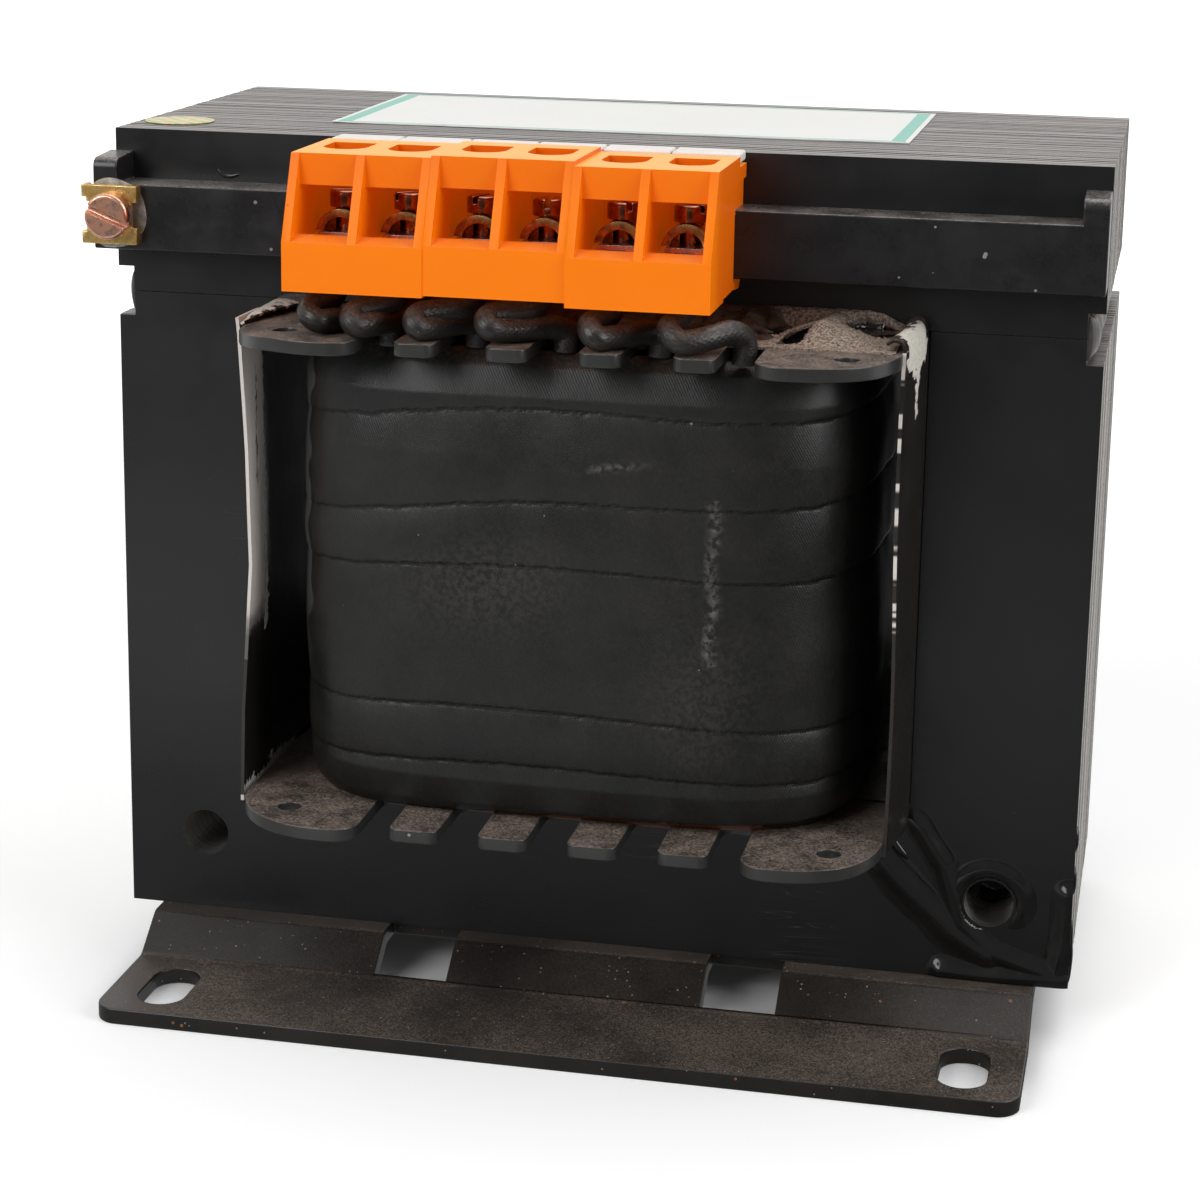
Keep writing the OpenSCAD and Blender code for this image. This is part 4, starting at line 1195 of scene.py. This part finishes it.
# Way of each lead: x, distance out from the core, height over the flange (mm)
LEAD_WAYS = (
    ((-27.5, 17.1, 3.5), (-29.2, 19.9, 2.7), (-27.8, 21.2, 1.6), (-25.4, 18.0, 1.45), (-22.7, 14.6, 1.45),
     (-20.9, 13.2, 0.6)),
    ((-20.2, 17.6, 3.5), (-23.5, 20.9, 2.8), (-23.0, 22.6, 1.6), (-21.2, 20.2, 1.45), (-20.5, 17.4, 1.2),
     (-20.5, 16.6, 0.4)),
    ((-11.6, 17.6, 3.5), (-15.9, 20.9, 2.9), (-15.6, 22.4, 1.6), (-13.6, 19.4, 1.45), (-11.4, 16.2, 1.4),
     (-10.7, 14.8, 0.6)),
    ((-3.8, 17.6, 3.5), (-7.8, 20.6, 3.1), (-7.4, 22.2, 2.0), (-5.2, 20.0, 1.5), (-2.0, 16.8, 1.45),
     (-0.3, 15.0, 0.6)),
    ((5.3, 18.0, 3.4), (3.9, 21.4, 2.8), (5.0, 22.8, 1.6), (7.0, 20.2, 1.45), (9.4, 16.6, 1.4),
     (10.7, 15.0, 0.6)),
    ((13.3, 18.2, 3.4), (12.9, 21.8, 2.7), (14.7, 22.9, 1.6), (17.3, 21.2, 2.0), (19.6, 18.6, 2.2),
     (20.7, 16.9, 1.0)))


def smooth_way(points, pitch):
    """Points at an even pitch on a curve through the given ones."""
    p = [2*np.array(points[0]) - points[1]] + [np.array(q, dtype=float) for q in points]
    p += [2*p[-1] - p[-2]]
    curve = []
    for a, b, c, d in zip(p, p[1:], p[2:], p[3:]):
        for t in np.linspace(0, 1, 24, endpoint=False):
            curve.append(0.5*(2*b + (c - a)*t + (2*a - 5*b + 4*c - d)*t*t + (3*b - a - 3*c + d)*t**3))
    curve = np.array(curve + [p[-2]])
    length = np.concatenate([[0], np.cumsum(np.linalg.norm(np.diff(curve, axis=0), axis=1))])
    want = np.linspace(0, length[-1], max(int(length[-1]/pitch), 4))
    return np.stack([np.interp(want, length, curve[:, k]) for k in range(3)], 1), want


def sleeve_mesh(name, points, seed, turns=32):
    """A closed round sleeve along a way, slightly uneven, with its own chart."""
    way, length = smooth_way(points, 0.22*mm)
    aim = np.gradient(way, axis=0)
    aim /= np.linalg.norm(aim, axis=1, keepdims=True)
    side = np.cross(aim[0], (0.3, 0.9, 0.1))
    verts, rings = [], len(way)
    for i in range(rings):
        side = side - aim[i]*np.dot(side, aim[i])
        side /= np.linalg.norm(side)
        up = np.cross(aim[i], side)
        for j in range(turns):
            a = 2*math.pi*j/turns
            uneven = 1 + 0.05*noise.noise((length[i]*420, seed*5.1, math.cos(a)*0.8)) \
                + 0.02*noise.noise((length[i]*1500, math.cos(a)*2, math.sin(a)*2 + seed))
            verts.append(way[i] + SLEEVE_RADIUS*uneven*(math.cos(a)*side + math.sin(a)*up))
    faces, chart = [], []
    for i in range(rings - 1):
        for j in range(turns):
            k = (j + 1) % turns
            faces.append((turns*i + j, turns*i + k, turns*(i + 1) + k, turns*(i + 1) + j))
            chart += [(j/turns, length[i]*100), ((j + 1)/turns, length[i]*100),
                      ((j + 1)/turns, length[i + 1]*100), (j/turns, length[i + 1]*100)]
    faces += [tuple(reversed(range(turns))), tuple(turns*(rings - 1) + j for j in range(turns))]
    chart += [(0, 0)]*(2*turns)
    mesh = bpy.data.meshes.new(name)
    mesh.from_pydata([tuple(v) for v in verts], [], faces)
    mesh.uv_layers.new(name="sleeve").data.foreach_set("uv", np.array(chart, dtype=float).reshape(-1))
    turn_faces_out(mesh)
    return mesh


def sleeve_finish():
    """Fine braid: two families of threads crossing slantwise, under varnish and dust."""
    mat, tree, shader = new_finish("braided_sleeve", IOR=1.48)
    chart = sheet_chart(tree, "sleeve")
    place = object_place(tree)
    threads = []
    for slant in (1.0, -1.0):
        turn = calc(tree, "MULTIPLY_ADD", chart[1], 12.0*slant, times(tree, chart[0], 14.0))
        threads.append(calc(tree, "MULTIPLY_ADD", calc(tree, "SINE", times(tree, turn, 2*math.pi)),
                            0.5, 0.5))
    braid = calc(tree, "MAXIMUM", threads[0], threads[1])
    cloud = cloudy(tree, place, 420.0, 5.0, 0.6)
    base = blend(tree, cloud, tint(0.004, 0.0035, 0.0035), tint(0.012, 0.010, 0.009))
    base = blend(tree, times(tree, braid, 0.3), base, tint(0.026, 0.022, 0.020))
    dust = use(tree, DUST, Colour=base, Dust=tint(0.17, 0.13, 0.105), Amount=0.6, Patch=350.0, Grain=3200.0,
               All_Round=0.03)
    specks = use(tree, SPECKS, Spacing=1500.0, Density=0.06, Size=0.2)["Mask"]
    tree.links.new(blend(tree, times(tree, specks, 0.5), dust["Colour"], tint(0.45, 0.36, 0.28)),
                   shader.inputs["Base Color"])
    tree.links.new(ramp(tree, cloud, 0.3, 0.7, 0.30, 0.55), shader.inputs["Roughness"])
    bump(tree, shader, plus(tree, times(tree, braid, 0.5), cloud), 0.06*mm, 0.8)
    return mat


SLEEVE = sleeve_finish()
for number, way in enumerate(LEAD_WAYS, 1):
    low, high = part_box("lead_%d" % number)
    block, pole = divmod(number - 1, 2)
    hole_x = FIRST_SCREW + block*BLOCK_PITCH + pole*POLE_PITCH
    points = [(hole_x, -42.85*mm, high[2]), (hole_x, -42.85*mm, high[2] - 4.8*mm)]
    points += [(x*mm, (-27.25 - out)*mm, (FLANGE_TOP + up)*mm) for x, out, up in way]
    points += [(way[-1][0]*mm, (-27.25 - way[-1][1])*mm, low[2])]
    mesh = sleeve_mesh("sleeved_lead_%d" % number, points, number)
    mesh.materials.append(SLEEVE)
    mesh.shade_smooth()
    piece(mesh.name, mesh, "sleeve", "lead_%d" % number)

# ---------------------------------------------------------------- label
# A blank white film label with a printed green border, stuck on the top of
# the core a little askew, its edge lifted by a hair here and there.
LABEL_CORNERS = ((-36.8, -13.3), (35.1, -12.4), (35.1, 21.6), (-37.3, 22.4))


def label_mesh():
    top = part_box("rating_label")[0][2]
    rows = []
    for u in np.linspace(0, 1, 90):
        row = []
        for v in np.linspace(0, 1, 46):
            a, b, c, d = (np.array(q) for q in LABEL_CORNERS)
            x, y = (1 - v)*((1 - u)*a + u*b) + v*((1 - u)*d + u*c)
            rim = max(abs(2*u - 1), abs(2*v - 1))**12
            curl = 0.05*rim*max(noise.noise((x*0.2, y*0.2, 6)), 0)
            lift = 0.07 + 0.03*noise.noise((x*0.08, y*0.08, 1)) + curl
            row.append((x*mm, y*mm, top + lift*mm))
        rows.append(row)
    mesh = slab("film_label", rows, 0.11*mm)
    chart = mesh.uv_layers.new(name="print")
    place = [(i//46/89, i % 46/45) for i in range(90*46)]*2
    corner = np.empty(len(mesh.loops), dtype=np.int32)
    mesh.loops.foreach_get("vertex_index", corner)
    chart.data.foreach_set("uv", np.array(place)[corner].reshape(-1))
    return mesh


def label_finish():
    mat, tree, shader = new_finish("printed_film", Roughness=0.34, IOR=1.46)
    chart = sheet_chart(tree, "print")
    place = object_place(tree)
    ends = times(tree, calc(tree, "ABSOLUTE", calc(tree, "SUBTRACT", chart[0], 0.5)), 72.5)
    sides = times(tree, calc(tree, "ABSOLUTE", calc(tree, "SUBTRACT", chart[1], 0.5)), 35.0)
    end_band = times(tree, ramp(tree, ends, 33.9, 34.0), ramp(tree, ends, 35.7, 35.6))
    side_band = times(tree, ramp(tree, sides, 16.3, 16.4), ramp(tree, sides, 17.1, 17.0))
    band = calc(tree, "MAXIMUM", end_band, side_band)
    band = times(tree, band, ramp(tree, ends, 35.75, 35.65))
    band = times(tree, band, ramp(tree, sides, 17.15, 17.05))
    cloud = cloudy(tree, place, 60.0, 4.0)
    white = blend(tree, cloud, tint(0.72, 0.715, 0.68), tint(0.80, 0.795, 0.77))
    colour = blend(tree, band, white, tint(0.10, 0.46, 0.36))
    dust = use(tree, DUST, Colour=colour, Dust=tint(0.5, 0.46, 0.40), Amount=0.22, Patch=120.0, Grain=2600.0)
    tree.links.new(dust["Colour"], shader.inputs["Base Color"])
    bump(tree, shader, cloud, 0.05*mm, 0.4)
    return mat


mesh = label_mesh()
dress(mesh, label_finish(), "label", "rating_label")

# ---------------------------------------------------------------- earth sticker
# A small round foil sticker beside the earth screw, striped gold, green and
# orange, a little domed and rubbed.


def sticker_mesh():
    low, high = (np.array(c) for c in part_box("earth_sticker"))
    middle, radius = (low + high)/2, (high[0] - low[0])/2
    rows = []
    for part in np.linspace(0.01, 1, 14):
        rows.append([(middle[0] + part*radius*math.cos(a), middle[1] + part*radius*math.sin(a),
                      low[2] + (0.08 + 0.03*(1 - part**4))*mm) for a in np.linspace(0, 2*math.pi, 73)])
    return slab("foil_sticker", rows, 0.08*mm)


def sticker_finish():
    mat, tree, shader = new_finish("striped_foil", Metallic=0.25, Roughness=0.3)
    place = object_place(tree)
    axis = axes(tree, place)
    wave = calc(tree, "SINE", times(tree, plus(tree, axis[0], axis[1]), 2500.0))
    colour = blend(tree, ramp(tree, wave, -0.2, 0.2), tint(0.34, 0.42, 0.12), tint(0.72, 0.62, 0.22))
    colour = blend(tree, ramp(tree, wave, 0.75, 0.85), colour, tint(0.75, 0.33, 0.08))
    rub = cloudy(tree, place, 700.0, 5.0)
    colour = blend(tree, ramp(tree, rub, 0.52, 0.66, 0.0, 0.6), colour, tint(0.62, 0.62, 0.52))
    tree.links.new(colour, shader.inputs["Base Color"])
    bump(tree, shader, rub, 0.03*mm)
    return mat


mesh = sticker_mesh()
dress(mesh, sticker_finish(), "sticker", "earth_sticker")

# ---------------------------------------------------------------- varnish runs
# The whole transformer hung to drain after dipping, so black varnish stands in
# beads on the lower right corner, in runs down the front and in one arc above.


def run_of_varnish(name, points, breadth, height, out):
    """A tapered half-round bead along points on a face; out is the face's direction."""
    way, length = smooth_way([np.array(p)*mm for p in points], 0.25*mm)
    out = np.array(out, dtype=float)
    aim = np.gradient(way, axis=0)
    aim /= np.linalg.norm(aim, axis=1, keepdims=True)
    rows = []
    for i in range(len(way)):
        part = i/(len(way) - 1)
        swell = max(math.sin(math.pi*min(max(part, 0.02), 0.98))**0.5, 0.1)
        swell *= 1 + 0.25*noise.noise((length[i]*600, breadth, 3.3))
        across = np.cross(aim[i], out)
        row = []
        for a in np.linspace(0, math.pi, 11):
            rise = height*mm*swell*math.sin(a) - 0.03*mm
            row.append(way[i] + across*breadth*mm*swell*math.cos(a) + out*rise)
        rows.append(row)
    return slab(name, rows, 0.04*mm)


def varnish_finish():
    mat, tree, shader = new_finish("standing_varnish", IOR=1.5)
    place = object_place(tree)
    cloud = cloudy(tree, place, 500.0, 4.0)
    tree.links.new(blend(tree, cloud, tint(0.003, 0.003, 0.003), tint(0.008, 0.0075, 0.007)),
                   shader.inputs["Base Color"])
    tree.links.new(ramp(tree, cloud, 0.35, 0.7, 0.10, 0.2), shader.inputs["Roughness"])
    bump(tree, shader, cloud, 0.03*mm, 0.5)
    return mat


def near_line(x, z, points, breadth):
    """1 on a line through points and falling off to 0 beside it."""
    best = 9e9
    for (ax, az), (bx, bz) in zip(points, points[1:]):
        t = min(max(((x - ax)*(bx - ax) + (z - az)*(bz - az))/((bx - ax)**2 + (bz - az)**2), 0), 1)
        best = min(best, math.hypot(x - ax - t*(bx - ax), z - az - t*(bz - az)))
    return math.exp(-(best/breadth)**2)


def drained_sheet(face_y):
    """The thick film that ran from the window's corner past the hole to the core's corner."""
    rows = []
    for x in np.linspace(33.5, 59.95, 120):
        row = []
        for z in np.linspace(6.05, 28.0, 100):
            wide = 1 + 0.12*noise.noise((x*0.3, z*0.3, 9))
            rise = 0.95*near_line(x, z, ((35, 22.5), (38.5, 18.5), (45.5, 12.0), (50, 9.2)), 1.5*wide)
            rise = max(rise, 0.75*near_line(x, z, ((40.4, 26.5), (44.3, 20.5), (46.6, 13.2), (50.5, 9.6),
                                                   (58.5, 7.2)), 1.05*wide))
            rise = max(rise, 0.35*math.exp(-((math.hypot(x - 50, z - 16) - 4.3)/1.0)**2)*ease(z, 12, 17))
            rise = max(rise, 0.9*near_line(x, z, ((44.5, 6.9), (50, 6.7), (59, 7.0)), 1.15*wide))
            rise = max(rise, 0.7*near_line(x, z, ((59.4, 18), (59.3, 12), (58.6, 7.4)), 1.2))
            rise *= ease(z, 28, 25)*ease(x, 33.5, 35.5)
            deep = 12*ease(math.hypot(x - 50, z - 16), 3.25, 2.85)
            row.append((x*mm, (face_y + 0.06 - rise + deep)*mm, z*mm))
        rows.append(row)
    return slab("drained_varnish", rows, 0.05*mm)


VARNISH = varnish_finish()
core_low, core_high = (np.array(c)/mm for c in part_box("e_stack"))
face_y, side_x = core_low[1], core_high[0]
for name, points, breadth, height in (
        ("varnish_arc", ((-47.0, 101.4), (-46.4, 100.8), (-45.3, 100.6), (-44.2, 100.9)), 0.28, 0.16),
        ("varnish_drip", ((37.6, 24.6), (38.4, 22.6), (40.0, 20.8)), 0.5, 0.4)):
    mesh = run_of_varnish(name, [(x, face_y, z) for x, z in points], breadth, height, (0, -1, 0))
    dress(mesh, VARNISH, "core", angle=60)
mesh = drained_sheet(face_y)
dress(mesh, VARNISH, "core", angle=70)
for number, (low, high, depth) in enumerate(((6.6, 14.5, 0.4), (18, 21.5, 0.3), (23.5, 26.5, 0.35))):
    points = [(side_x, face_y + 0.4 + depth, z) for z in np.linspace(low, high, 4)]
    mesh = run_of_varnish("side_run_%d" % (number + 1), points, 0.7, 0.35, (1, 0, 0))
    dress(mesh, VARNISH, "core", angle=60)

low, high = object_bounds()
